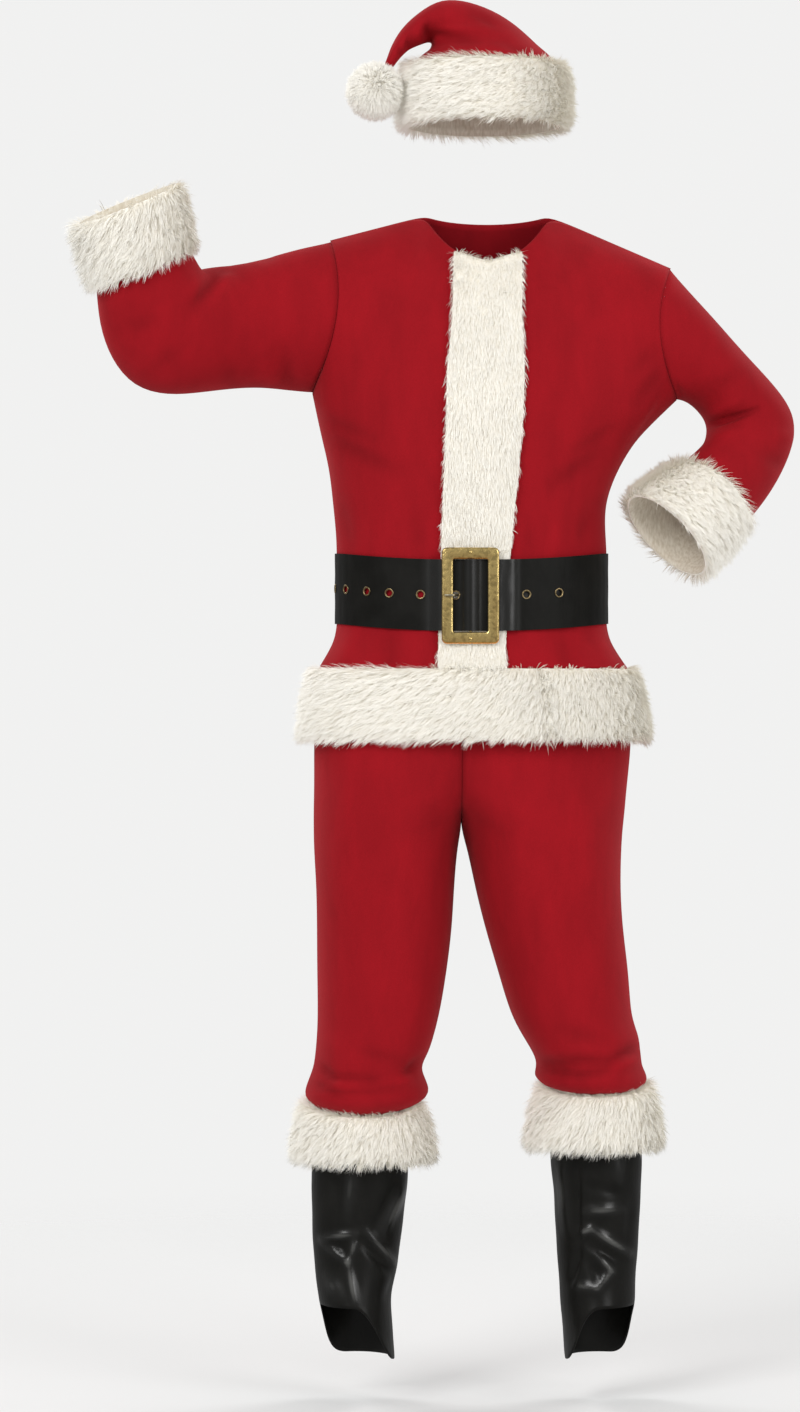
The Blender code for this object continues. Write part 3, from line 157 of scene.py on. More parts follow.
def coordinates(mesh):
    return vectors_of(mesh.vertices, "co")


def normals_of(mesh):
    return vectors_of(mesh.vertex_normals, "vector")


def set_coordinates(mesh, points):
    mesh.vertices.foreach_set("co", points.astype(np.float32).ravel())
    mesh.update()


def set_attribute(mesh, name, values):
    layer = mesh.attributes.new(name, "FLOAT", "POINT")
    layer.data.foreach_set("value", np.asarray(values, np.float32))


def linked(item):
    """Puts an object into the scene."""
    bpy.context.scene.collection.objects.link(item)
    return item


def mesh_from(bm, name):
    """A mesh made from a bmesh, which is then freed."""
    mesh = bpy.data.meshes.new(name)
    bm.to_mesh(mesh)
    bm.free()
    return mesh


def plain_mesh(holder, name):
    """The evaluated mesh of an object, which is then removed."""
    graph = bpy.context.evaluated_depsgraph_get()
    mesh = bpy.data.meshes.new_from_object(holder.evaluated_get(graph))
    mesh.name = name
    bpy.data.objects.remove(holder)
    return mesh


def add_piece(name, mesh, materials, replaced=()):
    piece = linked(bpy.data.objects.new(name, mesh))
    mesh.materials.clear()
    for material in materials:
        mesh.materials.append(material)
    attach(piece, "root")
    if replaced:
        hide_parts(*replaced)
    return piece


def merged_copy(node):
    """A bmesh of a node, its doubled corners merged."""
    bm = bmesh.new()
    bm.from_mesh(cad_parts[node].data)
    bmesh.ops.remove_doubles(bm, verts=bm.verts, dist=MERGE)
    return bm


def join_quads(bm):
    """Joins the triangles into the quads they were cut from."""
    bmesh.ops.join_triangles(bm, faces=bm.faces, angle_face_threshold=math.pi, angle_shape_threshold=math.pi,
                             topology_influence=1.6)


def outer_skin(node, thickness):
    """The outer face of a wall. Its rims are the faces with an edge as long as the wall is thick."""
    bm = merged_copy(node)
    rims = [face for face in bm.faces
            if any(abs(edge.calc_length() - thickness) < 0.12 * thickness for edge in face.edges)]
    bmesh.ops.delete(bm, geom=rims, context="FACES")
    islands = []
    unseen = set(bm.faces)
    while unseen:
        island = {unseen.pop()}
        front = list(island)
        while front:
            for edge in front.pop().edges:
                for face in edge.link_faces:
                    if face in unseen:
                        unseen.discard(face)
                        island.add(face)
                        front.append(face)
        islands.append(island)
    islands.sort(key=lambda faces: -sum(face.calc_area() for face in faces))
    inner = [face for faces in islands[1:] for face in faces]
    bmesh.ops.delete(bm, geom=inner, context="FACES")
    bmesh.ops.holes_fill(bm, edges=[edge for edge in bm.edges if edge.is_boundary], sides=4)
    join_quads(bm)
    return bm


def refined(bm, name, levels):
    """The bmesh as a smooth, finer mesh that keeps its border and its corners."""
    rough = mesh_from(bm, name)
    holder = linked(bpy.data.objects.new(name, rough))
    smoother = holder.modifiers.new("smooth", "SUBSURF")
    smoother.levels = levels
    smoother.render_levels = levels
    smoother.boundary_smooth = "PRESERVE_CORNERS"
    mesh = plain_mesh(holder, name)
    bpy.data.meshes.remove(rough)
    mesh.shade_smooth()
    return mesh


def border_distance(mesh):
    """Each vertex's distance to the mesh's open border."""
    bm = bmesh.new()
    bm.from_mesh(mesh)
    border = [vert.co.copy() for vert in bm.verts if vert.is_boundary]
    middles = [(edge.verts[0].co + edge.verts[1].co) / 2 for edge in bm.edges if edge.is_boundary]
    bm.free()
    tree = KDTree(len(border) + len(middles))
    for number, point in enumerate(border + middles):
        tree.insert(point, number)
    tree.balance()
    return np.array([tree.find(vert.co)[2] for vert in mesh.vertices])


# Folds as the picture shows them: start x, y and end x, y (pixels), half width (pixels), height (mm, valleys
# are negative), and 1 for the front or -1 for the back
JACKET_FOLDS = rowwise("""
    330 440  392 470   9  -2.6  1
    322 418  372 440   7  -1.8  1
    600 452  556 486   9  -2.6  1
    612 430  576 452   7  -1.8  1
    338 500  350 545   8  -1.6  1
    592 505  580 545   8  -1.6  1
    372 520  380 556   9   1.6  1
    415 525  420 556   8  -1.2  1
    560 520  552 556   9   1.6  1
    530 525  527 556   7  -1.2  1
    352 632  338 668   9   1.8  1
    392 632  386 668   9  -1.6  1
    425 632  422 668   8   1.2  1
    598 632  612 668   9   1.8  1
    560 632  568 668   9  -1.6  1
    525 632  528 668   8   1.2  1
    664 372  640 402   9  -2.4  1
    652 350  636 372   8  -1.6  1
    318 300  312 372   8  -1.6  1
    300 262  330 246   7  -1.0  1
    640 330  652 300   9   1.4  1
    380 250  410 300  16   1.4  1
    590 260  560 310  16   1.4  1
    340 440  400 486   9  -2.6 -1
    600 440  540 486   9  -2.6 -1
    360 515  370 556   9   1.8 -1
    400 505  408 556   9  -1.8 -1
    450 500  452 556  10   1.8 -1
    500 505  498 556   9  -1.8 -1
    545 515  540 556   9   1.8 -1
    350 632  335 668   9   1.8 -1
    400 632  394 668   9  -1.8 -1
    450 632  450 668  10   1.8 -1
    500 632  506 668   9  -1.8 -1
    560 632  572 668   9   1.8 -1
    470 236  470 330  20  -2.0 -1
    400 290  330 330  14   1.8 -1
    560 290  630 330  14   1.8 -1
""")
SLEEVE_FOLDS = rowwise("""
    706 428  758 409   3.2  -3.6  1
    712 438  744 430   6   2.4  1
    706 417  742 400   6   2.2  1
    675 399  661 366   8  -1.6  1
    659 389  680 394   4  -1.8  1
    673 382  685 397   4  -1.8  1
    690 408  676 380   7   1.8  1
    790 470  766 455   8  -1.8  1
    798 440  770 434   8   1.6  1
    740 372  716 392   8  -1.6  1
    262 254  275 262   6  -2.2  1
    275 254  262 300   8   1.6  1
    222 268  240 272   6  -2.6  1
    236 268  214 300   7   2.4  1
    218 272  196 306   7  -3.2  1
    206 276  186 300   6   2.0  1
    290 392  286 352   8  -2.8  1
    266 388  262 352   9   1.8  1
    232 391  228 362   8  -1.6  1
    150 372  176 352   7  -1.8  1
    122 330  150 322   7  -1.8  1
    110 300  140 296   7   1.6  1
    720 330  700 360  10   1.6 -1
    790 400  740 420   7  -3.0 -1
    780 440  730 440   7   2.0 -1
    240 290  236 370  10   2.0 -1
    206 300  190 372   8  -3.0 -1
    150 330  180 360   8   2.0 -1
    270 262  266 372  10  -1.6 -1
""")
TROUSER_FOLDS = rowwise("""
    461 755  461 831   4  -2.6  1
    456 816  420 832   6  -0.9  1
    467 816  506 836   6  -0.9  1
    452 792  402 806   9   0.8  1
    470 792  528 812   9   0.8  1
    350 760  346 900  14   1.6  1
    400 860  396 980  14   1.4  1
    580 780  584 900  14   1.6  1
    540 860  560 980  14   1.4  1
    318 1066 332 1078  5  -3.6  1
    332 1078 356 1079  5  -3.4  1
    356 1079 390 1083  5  -3.0  1
    311 1082 338 1093  5  -3.4  1
    338 1093 398 1088  5  -3.2  1
    324 1086 354 1087  5   2.8  1
    360 1090 404 1080  5   2.4  1
    420 1060 405 1076  5  -3.6  1
    414 1078 396 1084  5   2.4  1
    356 1050 402 1060  7  -2.0  1
    320 1040 350 1050  8   1.2  1
    645 1042 610 1062  5  -3.6  1
    610 1062 574 1060  5  -3.4  1
    535 1062 574 1063  5  -3.0  1
    538 1068 578 1076  5  -3.4  1
    578 1076 612 1070  5  -3.2  1
    616 1069 642 1057  5   2.6  1
    548 1052 582 1050  7   2.2  1
    560 1030 600 1040  8  -2.0  1
    340 760  352 930  14   1.6 -1
    430 840  372 870  10  -2.6 -1
    490 840  556 870  10  -2.6 -1
    590 760  576 930  14   1.6 -1
    322 1020 400 1034  7  -2.6 -1
    424 1046 350 1056  7   2.4 -1
    330 1066 412 1074  6  -2.4 -1
    524 1024 610 1034  7  -2.6 -1
    634 1044 560 1054  7   2.4 -1
    540 1068 626 1074  6  -2.4 -1
""")
HAT_FOLDS = rowwise("""
    427 19   429 44    3.2  -3.2  1
    432 42   440 38    3.0   2.0  1
    440 29   485 29    4.0   2.0  1
    436 36   476 40    5.0  -2.4  1
    418 24   420 52    3.5   2.0  1
    408 30   410 56    3.5  -2.2  1
    396 42   404 60    3.0  -1.8  1
    470 12   500 26    5.0  -1.6  1
    500 40   530 56    6.0  -1.6  1
    450 8    446 24    4.0   1.4  1
    427 19   429 50    4.0  -3.0 -1
    440 26   500 34    5.0   2.0 -1
    470 44   520 56    6.0  -1.8 -1
    408 30   410 56    3.5  -2.0 -1
""")
BOOT_FOLDS = rowwise("""
    322 1238 356 1234  4    2.4  1
    324 1243 347 1262  4    2.0  1
    357 1237 348 1262  4    2.4  1
    334 1243 346 1252  6   -2.6  1
    348 1262 356 1308  4    2.4  1
    359 1238 394 1275  5   -2.6  1
    366 1232 399 1268  4    2.2  1
    408 1180 384 1232  5    2.2  1
    397 1180 375 1228  5   -1.8  1
    399 1276 389 1296  5   -2.6  1
    334 1160 338 1215  7   -1.6  1
    353 1160 346 1218  7    1.6  1
    328 1276 338 1296  6    1.6  1
    578 1146 579 1256  2.6 -2.0  1
    582 1184 626 1194  6   -2.0  1
    584 1211 622 1209  5    2.2  1
    579 1233 591 1229  4    2.4  1
    591 1229 629 1253  4    2.6  1
    586 1242 620 1262  5   -2.4  1
    598 1254 611 1271  4    2.4  1
    611 1271 597 1289  4    2.4  1
    590 1263 599 1279  5   -2.2  1
    579 1256 570 1283  4   -2.4  1
    570 1284 598 1289  4    2.0  1
    560 1155 566 1230  6    1.6  1
    620 1150 618 1186  5    1.4  1
    632 1200 628 1240  5   -1.4  1
    322 1180 398 1210  6   -1.8 -1
    396 1236 330 1262  5    2.0 -1
    330 1262 392 1290  5   -2.2 -1
    558 1186 632 1216  6   -1.8 -1
    634 1244 568 1264  5    2.0 -1
    564 1264 630 1294  5   -2.2 -1
""")


def fold_heights(points, normals, folds):
    """Height that the folds give each point, in metres, along its normal."""
    seen = pictured(points)
    heights = np.zeros(len(points))
    for x1, y1, x2, y2, width, height, side in folds:
        start = np.array([x1, y1])
        way = np.array([x2 - x1, y2 - y1])
        length = np.linalg.norm(way)
        part = (seen - start) @ way / length**2
        nearest = start + np.clip(part, 0, 1)[:, None] * way
        away = np.linalg.norm(seen - nearest, axis=1)
        taper = 0.35 + 0.65 * np.sin(math.pi * np.clip(part, 0.05, 0.95))
        facing = smooth_step(-side * normals[:, 1], -0.05, 0.45)
        heights += 0.001 * sizes().fold * height * np.exp(-(away / width)**2) * taper * facing
    return heights


def soft_swell(points, wavelength, height, seed):
    """Low uneven waves, the same for every piece of the cloth."""
    draw = np.random.default_rng(seed)
    total = np.zeros(len(points))
    for _ in range(7):
        way = unit(draw.normal(size=3))
        turns = 2 * math.pi / (wavelength * draw.uniform(0.7, 1.5))
        total += np.sin(points @ way * turns + draw.uniform(0, 2 * math.pi))
    return height * total / 7


# Height of a fold at which the painted shade in its valley, or the painted light on its ridge, is full
CREASE = 0.0042


def shaped(mesh, folds, swell, wavelength, seed, hold=0.003):
    """Moves a skin along its normals by folds and swells, less near its border, so that seams still meet."""
    points = coordinates(mesh)
    normals = normals_of(mesh)
    border = border_distance(mesh)
    free = smooth_step(border, 0.0, hold * 4)
    bent_by = fold_heights(points, normals, folds) * free
    height = bent_by + soft_swell(points, wavelength, swell, seed) * free
    seam = np.exp(-(border / hold)**2)
    set_coordinates(mesh, points + normals * (height - 0.0002 * seam)[:, None])
    set_attribute(mesh, "seam", seam)
    # valley and ridge mark where the velour gets painted shade in its creases and painted light on its ridges;
    # on the vinyl the ridges get a painted highlight and more gloss
    set_attribute(mesh, "valley", np.clip(-bent_by / CREASE, 0, 1))
    set_attribute(mesh, "ridge", np.clip(bent_by / CREASE, 0, 1))
    return mesh


def thick(piece, thickness):
    wall = piece.modifiers.new("wall", "SOLIDIFY")
    wall.thickness = thickness
    wall.offset = -1
    wall.use_even_offset = False
    return piece


# Cloth pieces: node, folds, smoothing levels, the cut's width, length and area (metres, square metres)
CLOTH = (
    ("jacket_front_right", JACKET_FOLDS, 3, 0.30, 0.66, 0.155),
    ("jacket_front_left", JACKET_FOLDS, 3, 0.31, 0.66, 0.162),
    ("jacket_back", JACKET_FOLDS, 2, 0.60, 0.66, 0.316),
    ("sleeve_right", SLEEVE_FOLDS, 2, 0.50, 0.46, 0.165),
    ("sleeve_left", SLEEVE_FOLDS, 3, 0.48, 0.44, 0.128),
    ("trouser_leg_right", TROUSER_FOLDS, 2, 0.74, 0.74, 0.415),
    ("trouser_leg_left", TROUSER_FOLDS, 2, 0.76, 0.74, 0.420),
    ("hat_crown", HAT_FOLDS, 2, 0.62, 0.26, 0.062),
)


class Finish:
    """A material under construction: its nodes and its shader."""

    def __init__(self, name):
        self.material = bpy.data.materials.new(name)
        self.material.use_nodes = True
        self.tree = self.material.node_tree
        self.shader = self.tree.nodes["Principled BSDF"]

    def add(self, kind, **values):
        node = self.tree.nodes.new(kind)
        for key, value in values.items():
            setattr(node, key, value)
        return node

    def place(self):
        """Object coordinates."""
        return self.add("ShaderNodeTexCoord").outputs["Object"]

    def noise(self, scale, detail=2.0, rough=0.5, stretch=None):
        node = self.add("ShaderNodeTexNoise")
        node.inputs["Scale"].default_value = scale
        node.inputs["Detail"].default_value = detail
        node.inputs["Roughness"].default_value = rough
        source = self.place()
        if stretch:
            mapping = self.add("ShaderNodeMapping")
            mapping.inputs["Scale"].default_value = stretch
            self.tree.links.new(source, mapping.inputs["Vector"])
            source = mapping.outputs["Vector"]
        self.tree.links.new(source, node.inputs["Vector"])
        return node.outputs["Fac"]

    def attribute(self, name):
        return self.add("ShaderNodeAttribute", attribute_name=name).outputs["Fac"]

    def ramp(self, source, stops):
        node = self.add("ShaderNodeValToRGB")
        while len(node.color_ramp.elements) < len(stops):
            node.color_ramp.elements.new(0.5)
        for element, (position, colour) in zip(node.color_ramp.elements, stops):
            element.position = position
            element.color = colour if hasattr(colour, "__len__") else (colour, colour, colour, 1.0)
        self.tree.links.new(source, node.inputs["Fac"])
        return node.outputs["Color"]

    def blend(self, factor, first, second, mode="MIX"):
        node = self.add("ShaderNodeMix", data_type="RGBA", blend_type=mode)
        sockets = {socket.identifier: socket for socket in node.inputs}
        for identifier, value in (("Factor_Float", factor), ("A_Color", first), ("B_Color", second)):
            if isinstance(value, bpy.types.NodeSocket):
                self.tree.links.new(value, sockets[identifier])
            else:
                sockets[identifier].default_value = value
        return {socket.identifier: socket for socket in node.outputs}["Result_Color"]

    def times(self, first, second):
        return self.blend(1.0, first, second, "MULTIPLY")

    def sum(self, first, second, weight):
        """The first value times its weight, plus the second."""
        node = self.add("ShaderNodeMath", operation="MULTIPLY_ADD")
        self.tree.links.new(first, node.inputs[0])
        node.inputs[1].default_value = weight
        self.tree.links.new(second, node.inputs[2])
        return node.outputs[0]

    def group(self, tree, **values):
        node = self.add("ShaderNodeGroup", node_tree=tree)
        for key, value in values.items():
            node.inputs[key].default_value = value
        self.tree.links.new(self.place(), node.inputs["Vector"])
        return node

    def bump(self, height, strength, distance):
        node = self.add("ShaderNodeBump")
        node.inputs["Strength"].default_value = strength
        node.inputs["Distance"].default_value = distance
        self.tree.links.new(height, node.inputs["Height"])
        self.tree.links.new(node.outputs["Normal"], self.shader.inputs["Normal"])

    def feed(self, socket, source):
        self.tree.links.new(source, self.shader.inputs[socket])

    def fixed(self, **values):
        for key, value in values.items():
            self.shader.inputs[key.replace("_", " ")].default_value = value


def mottle_group():
    """Node group: two noises of unlike size, as one uneven value and a fine grain."""
    if "mottle" in bpy.data.node_groups:
        return bpy.data.node_groups["mottle"]
    tree = bpy.data.node_groups.new("mottle", "ShaderNodeTree")
    tree.interface.new_socket("Vector", in_out="INPUT", socket_type="NodeSocketVector")
    for name, default in (("Large Scale", 8.0), ("Fine Scale", 600.0)):
        socket = tree.interface.new_socket(name, in_out="INPUT", socket_type="NodeSocketFloat")
        socket.default_value = default
    for name in ("Patches", "Grain"):
        tree.interface.new_socket(name, in_out="OUTPUT", socket_type="NodeSocketFloat")
    entry = tree.nodes.new("NodeGroupInput")
    leave = tree.nodes.new("NodeGroupOutput")
    for scale, detail, out in (("Large Scale", 3.0, "Patches"), ("Fine Scale", 2.0, "Grain")):
        noise = tree.nodes.new("ShaderNodeTexNoise")
        noise.inputs["Detail"].default_value = detail
        tree.links.new(entry.outputs["Vector"], noise.inputs["Vector"])
        tree.links.new(entry.outputs[scale], noise.inputs["Scale"])
        tree.links.new(noise.outputs["Fac"], leave.inputs[out])
    return tree


def velour_material():
    finish = Finish("red_velour")
    tone = colours()
    mottle = finish.group(mottle_group(), **{"Large Scale": 7.0, "Fine Scale": 900.0})
    nap = finish.ramp(mottle.outputs["Patches"], ((0.30, tone.red_dark), (0.62, tone.red)))
    brushed = finish.ramp(finish.noise(26, 3, 0.6, (1.0, 1.0, 0.35)), ((0.35, 0.86), (0.70, 1.0)))
    colour = finish.blend(0.75, nap, tone.red)
    colour = finish.times(colour, brushed)
    grain = finish.ramp(mottle.outputs["Grain"], ((0.25, 0.84), (0.75, 1.0)))
    colour = finish.times(colour, grain)
    seam = finish.ramp(finish.attribute("seam"), ((0.30, 1.0), (1.0, 0.93)))
    colour = finish.times(colour, seam)
    # Painted shade in the folds' valleys and painted light on their ridges
    valley = finish.ramp(finish.attribute("valley"), ((0.0, 1.0), (1.0, 0.79)))
    ridge = finish.ramp(finish.attribute("ridge"), ((0.0, 0.93), (1.0, 1.0)))
    colour = finish.times(colour, valley)
    finish.feed("Base Color", finish.times(colour, ridge))
    finish.bump(mottle.outputs["Grain"], 0.35, 0.0006)
    finish.fixed(Roughness=0.88, Sheen_Weight=0.18, Sheen_Roughness=0.45, Specular_IOR_Level=0.12)
    finish.shader.inputs["Sheen Tint"].default_value = (1.0, 0.12, 0.13, 1.0)
    return finish.material


def fur_material():
    finish = Finish("fur_strands")
    tone = colours()
    shade = finish.attribute("shade")
    patches = finish.ramp(finish.noise(14, 2), ((0.3, 0.96), (0.7, 1.0)))
    # Darker towards the roots: painted shade; the tone that differs from strand to strand is the fur's own
    colour = finish.ramp(shade, ((0.2, tone.fur_dark), (0.7, tone.fur), (1.0, (0.97, 0.955, 0.91, 1.0))))
    finish.feed("Base Color", finish.times(colour, patches))
    # A faint glow in the fur's colour: painted light in place of the light that fur scatters
    finish.fixed(Roughness=0.62, Specular_IOR_Level=0.25, Emission_Strength=0.06)
    finish.shader.inputs["Emission Color"].default_value = tone.fur
    return finish.material


def fur_base_material():
    finish = Finish("fur_base")
    tone = colours()
    mottle = finish.group(mottle_group(), **{"Large Scale": 40.0, "Fine Scale": 420.0})
    colour = finish.ramp(mottle.outputs["Grain"], ((0.2, tone.fur_dark), (0.6, tone.fur)))
    patches = finish.ramp(mottle.outputs["Patches"], ((0.3, 0.93), (0.7, 1.0)))
    finish.feed("Base Color", finish.times(colour, patches))
    finish.bump(mottle.outputs["Grain"], 0.6, 0.0015)
    # A faint glow in the fur's colour: painted light
    finish.fixed(Roughness=0.95, Specular_IOR_Level=0.1, Emission_Strength=0.06)
    finish.shader.inputs["Emission Color"].default_value = tone.fur
    return finish.material


def backing_material():
    finish = Finish("fur_backing")
    tone = colours()
    ribs = finish.noise(340, 2, 0.5, (1.0, 1.0, 0.3))
    finish.feed("Base Color", finish.ramp(ribs, ((0.3, tone.fur_dark), (0.7, tone.backing))))
    finish.bump(ribs, 0.5, 0.0008)
    finish.fixed(Roughness=0.92, Specular_IOR_Level=0.1)
    return finish.material


def vinyl_material():
    finish = Finish("vinyl_leather")
    tone = colours()
    mottle = finish.group(mottle_group(), **{"Large Scale": 30.0, "Fine Scale": 700.0})
    rubbed = (0.0105, 0.0100, 0.0086, 1.0)
    worn = finish.ramp(mottle.outputs["Patches"], ((0.35, tone.vinyl), (0.80, rubbed)))
    # A pale line painted along the creases' ridges: a painted highlight
    ridge = finish.ramp(finish.attribute("ridge"), ((0.50, 0.0), (1.0, 1.0)))
    finish.feed("Base Color", finish.blend(ridge, worn, (0.085, 0.085, 0.080, 1.0)))
    dull = finish.ramp(mottle.outputs["Patches"], ((0.30, 0.40), (0.75, 0.52)))
    gloss = finish.ramp(finish.attribute("gloss"), ((0.0, 1.0), (1.0, 0.52)))
    finish.feed("Roughness", finish.times(dull, gloss))
    finish.feed("Coat Weight", finish.ramp(finish.attribute("gloss"), ((0.05, 0.0), (0.60, 0.9))))
    crinkle = finish.ramp(finish.noise(120, 4, 0.6, (1.0, 1.0, 0.35)), ((0.30, 0.0), (0.70, 1.0)))
    finish.bump(finish.sum(mottle.outputs["Grain"], crinkle, 0.20), 0.25, 0.0008)
    finish.fixed(Coat_Roughness=0.27, Specular_IOR_Level=0.09)
    return finish.material


def brass_material(name, colour, dents, roughness):
    finish = Finish(name)
    mottle = finish.group(mottle_group(), **{"Large Scale": dents, "Fine Scale": 900.0})
    dark = tuple(channel * 0.50 for channel in colour[:3]) + (1.0,)
    tone = finish.ramp(mottle.outputs["Patches"], ((0.38, dark), (0.56, tuple(colour))))
    # Orange on the faces that look down: a painted reflection
    finish.feed("Base Color", finish.blend(finish.attribute("below"), tone, (0.80, 0.30, 0.05, 1.0)))
    dull = finish.ramp(mottle.outputs["Patches"], ((0.3, roughness + 0.15), (0.7, roughness)))
    finish.feed("Roughness", dull)
    finish.bump(finish.sum(mottle.outputs["Grain"], mottle.outputs["Patches"], 0.30), 0.30, 0.0012)
    finish.fixed(Metallic=1.0)
    return finish.material


def floor_material():
    finish = Finish("pale_floor")
    shades = ((0.3, (0.735, 0.735, 0.73, 1.0)), (0.7, (0.745, 0.745, 0.74, 1.0)))
    finish.feed("Base Color", finish.ramp(finish.noise(0.6, 1), shades))
    apart = finish.add("ShaderNodeVectorMath", operation="LENGTH")
    finish.tree.links.new(finish.place(), apart.inputs[0])
    reach = finish.add("ShaderNodeMapRange", interpolation_type="SMOOTHERSTEP")
    finish.tree.links.new(apart.outputs["Value"], reach.inputs["Value"])
    for name, value in (("From Min", 1.9), ("From Max", 3.5), ("To Min", 1.0), ("To Max", 0.0)):
        reach.inputs[name].default_value = value
    finish.feed("Alpha", reach.outputs["Result"])
    finish.fixed(Roughness=0.85, Specular_IOR_Level=0.2)
    return finish.material


def material(name, make, *values):
    """A material by name, made once."""
    return bpy.data.materials.get(name) or make(*values)


# Fur bands: node, way of the band's axis, how far the fur is combed round the band (at the front, to the
# wearer's right) and down, the cut's width and length (metres), how far the base is set in (mm), random lean,
# and how far round its edges the fur grows (the least cosine to the way out)
BANDS = (
    ("hem_fur_band", (0, 0, 1), 0.85, 0.60, 0.094, 1.30, 3.0, 0.17, 0.20),
    ("sleeve_cuff_right", (-0.0191, -0.0160, 0.0819), 0.45, 0.70, 0.085, 0.46, 2.0, 0.20, -0.12),
    ("sleeve_cuff_left", (-0.0621, -0.0320, -0.0546), 0.90, 0.20, 0.085, 0.46, 2.0, 0.17, -0.12),
    ("leg_cuff_right", (0, 0, 1), 0.45, 0.85, 0.086, 0.50, 2.0, 0.20, -0.15),
    ("leg_cuff_left", (0, 0, 1), 0.45, 0.85, 0.086, 0.50, 2.0, 0.20, -0.15),
    ("hat_band", (0, 0, 1), 0.95, 0.32, 0.083, 0.74, 3.0, 0.19, 0.05),
)
# The angle from which an edge of a band stays a corner
CORNER = math.radians(65)
# How flat the strands lie, and how far those down the front part from each other
BAND_LEAN = 2.3
FRONT_LEAN = 2.6
FRONT_ROUGH = 0.15
# Stray strands: their share, and how much further they part
STRAY_SHARE = 0.04
STRAY_MORE = 1.6
# The least that a strand rises from its skin (cosine), and how deep its root sits (metres)
LEAST_RISE = 0.12
ROOT_DEPTH = 0.001
# The front band's fur: width, length, share of the density, and over what height it ends at the belt
FRONT_FUR_WIDTH = 0.067
FRONT_FUR_LENGTH = 0.56
FRONT_FUR_SHARE = 1.1
PRESSED_END = 0.012
# The pompom: its body and its strands' length as shares of its radius, the strands' number and way
POMPOM_BODY = 0.86
POMPOM_PILE = 0.40
POMPOM_STRANDS = 24000
POMPOM_COMB = (-0.15, 1.0, -0.45)


def band_skin(node, inset, levels, away):
    """The band's body, smooth but for its corners, its outer face set in below the tips of the fur."""
    bm = merged_copy(node)
    join_quads(bm)
    crease = bm.edges.layers.float.new("crease_edge")
    for edge in bm.edges:
        if edge.calc_face_angle(0.0) > CORNER:
            edge[crease] = 1.0
    mesh = refined(bm, node + "_body", levels)
    points = coordinates(mesh)
    outward = away(points)
    facing = np.clip(np.sum(normals_of(mesh) * outward, axis=1, keepdims=True), 0, 1)
    set_coordinates(mesh, points - outward * facing * inset)
    return mesh


def surface_draw(mesh, count, keep, draw):
    """Random points of a mesh with their normals, spread by area over the faces that keep picks."""
    mesh.calc_loop_triangles()
    corners = np.empty(len(mesh.loop_triangles) * 3, np.int32)
    mesh.loop_triangles.foreach_get("vertices", corners)
    corners = corners.reshape(-1, 3)
    points = coordinates(mesh)
    normals = normals_of(mesh)
    middle = points[corners].mean(axis=1)
    facing = unit(normals[corners].mean(axis=1))
    corners = corners[keep(middle, facing)]
    a, b, c = (points[corners[:, k]] for k in range(3))
    area = np.linalg.norm(np.cross(b - a, c - a), axis=1) / 2
    chosen = draw.choice(len(corners), size=count, p=area / area.sum())
    u, v = draw.uniform(size=(2, count))
    over = u + v > 1
    u[over], v[over] = 1 - u[over], 1 - v[over]
    weight = np.stack([1 - u - v, u, v], axis=1)[:, :, None]
    places = (points[corners[chosen]] * weight).sum(axis=1)
    return places, unit((normals[corners[chosen]] * weight).sum(axis=1))


def strand_mesh(name, roots, middles, tips, sideways, shade, normals):
    """Tapered ribbons as one mesh, a four-sided foot and a three-sided tip each, shaded like their skin."""
    count = len(roots)
    narrow = sideways * 0.8
    points = np.stack([roots - sideways, roots + sideways, middles - narrow, middles + narrow, tips], axis=1)
    pattern = np.array([0, 1, 3, 2, 2, 3, 4])
    loops = (np.arange(count)[:, None] * 5 + pattern[None, :]).ravel()
    mesh = bpy.data.meshes.new(name)
    mesh.vertices.add(count * 5)
    mesh.vertices.foreach_set("co", points.astype(np.float32).ravel())
    mesh.loops.add(count * 7)
    mesh.loops.foreach_set("vertex_index", loops.astype(np.int32))
    mesh.polygons.add(count * 2)
    starts = (np.arange(count)[:, None] * 7 + np.array([0, 4])).ravel()
    mesh.polygons.foreach_set("loop_start", starts.astype(np.int32))
    mesh.update(calc_edges=True)
    mesh.validate()
    # The shade attribute: darker towards the roots, painted shade, times each strand's and lock's own tone
    levels = np.array([0.0, 0.0, 0.62, 0.62, 1.0])
    set_attribute(mesh, "shade", np.clip(shade[:, None] * (0.30 + 0.70 * levels[None, :]), 0, 1).ravel())
    mesh.shade_smooth()
    soft = unit(np.repeat(normals, 5, axis=0) + 0.35 * normals_of(mesh))
    mesh.normals_split_custom_set_from_vertices(soft.tolist())
    return mesh


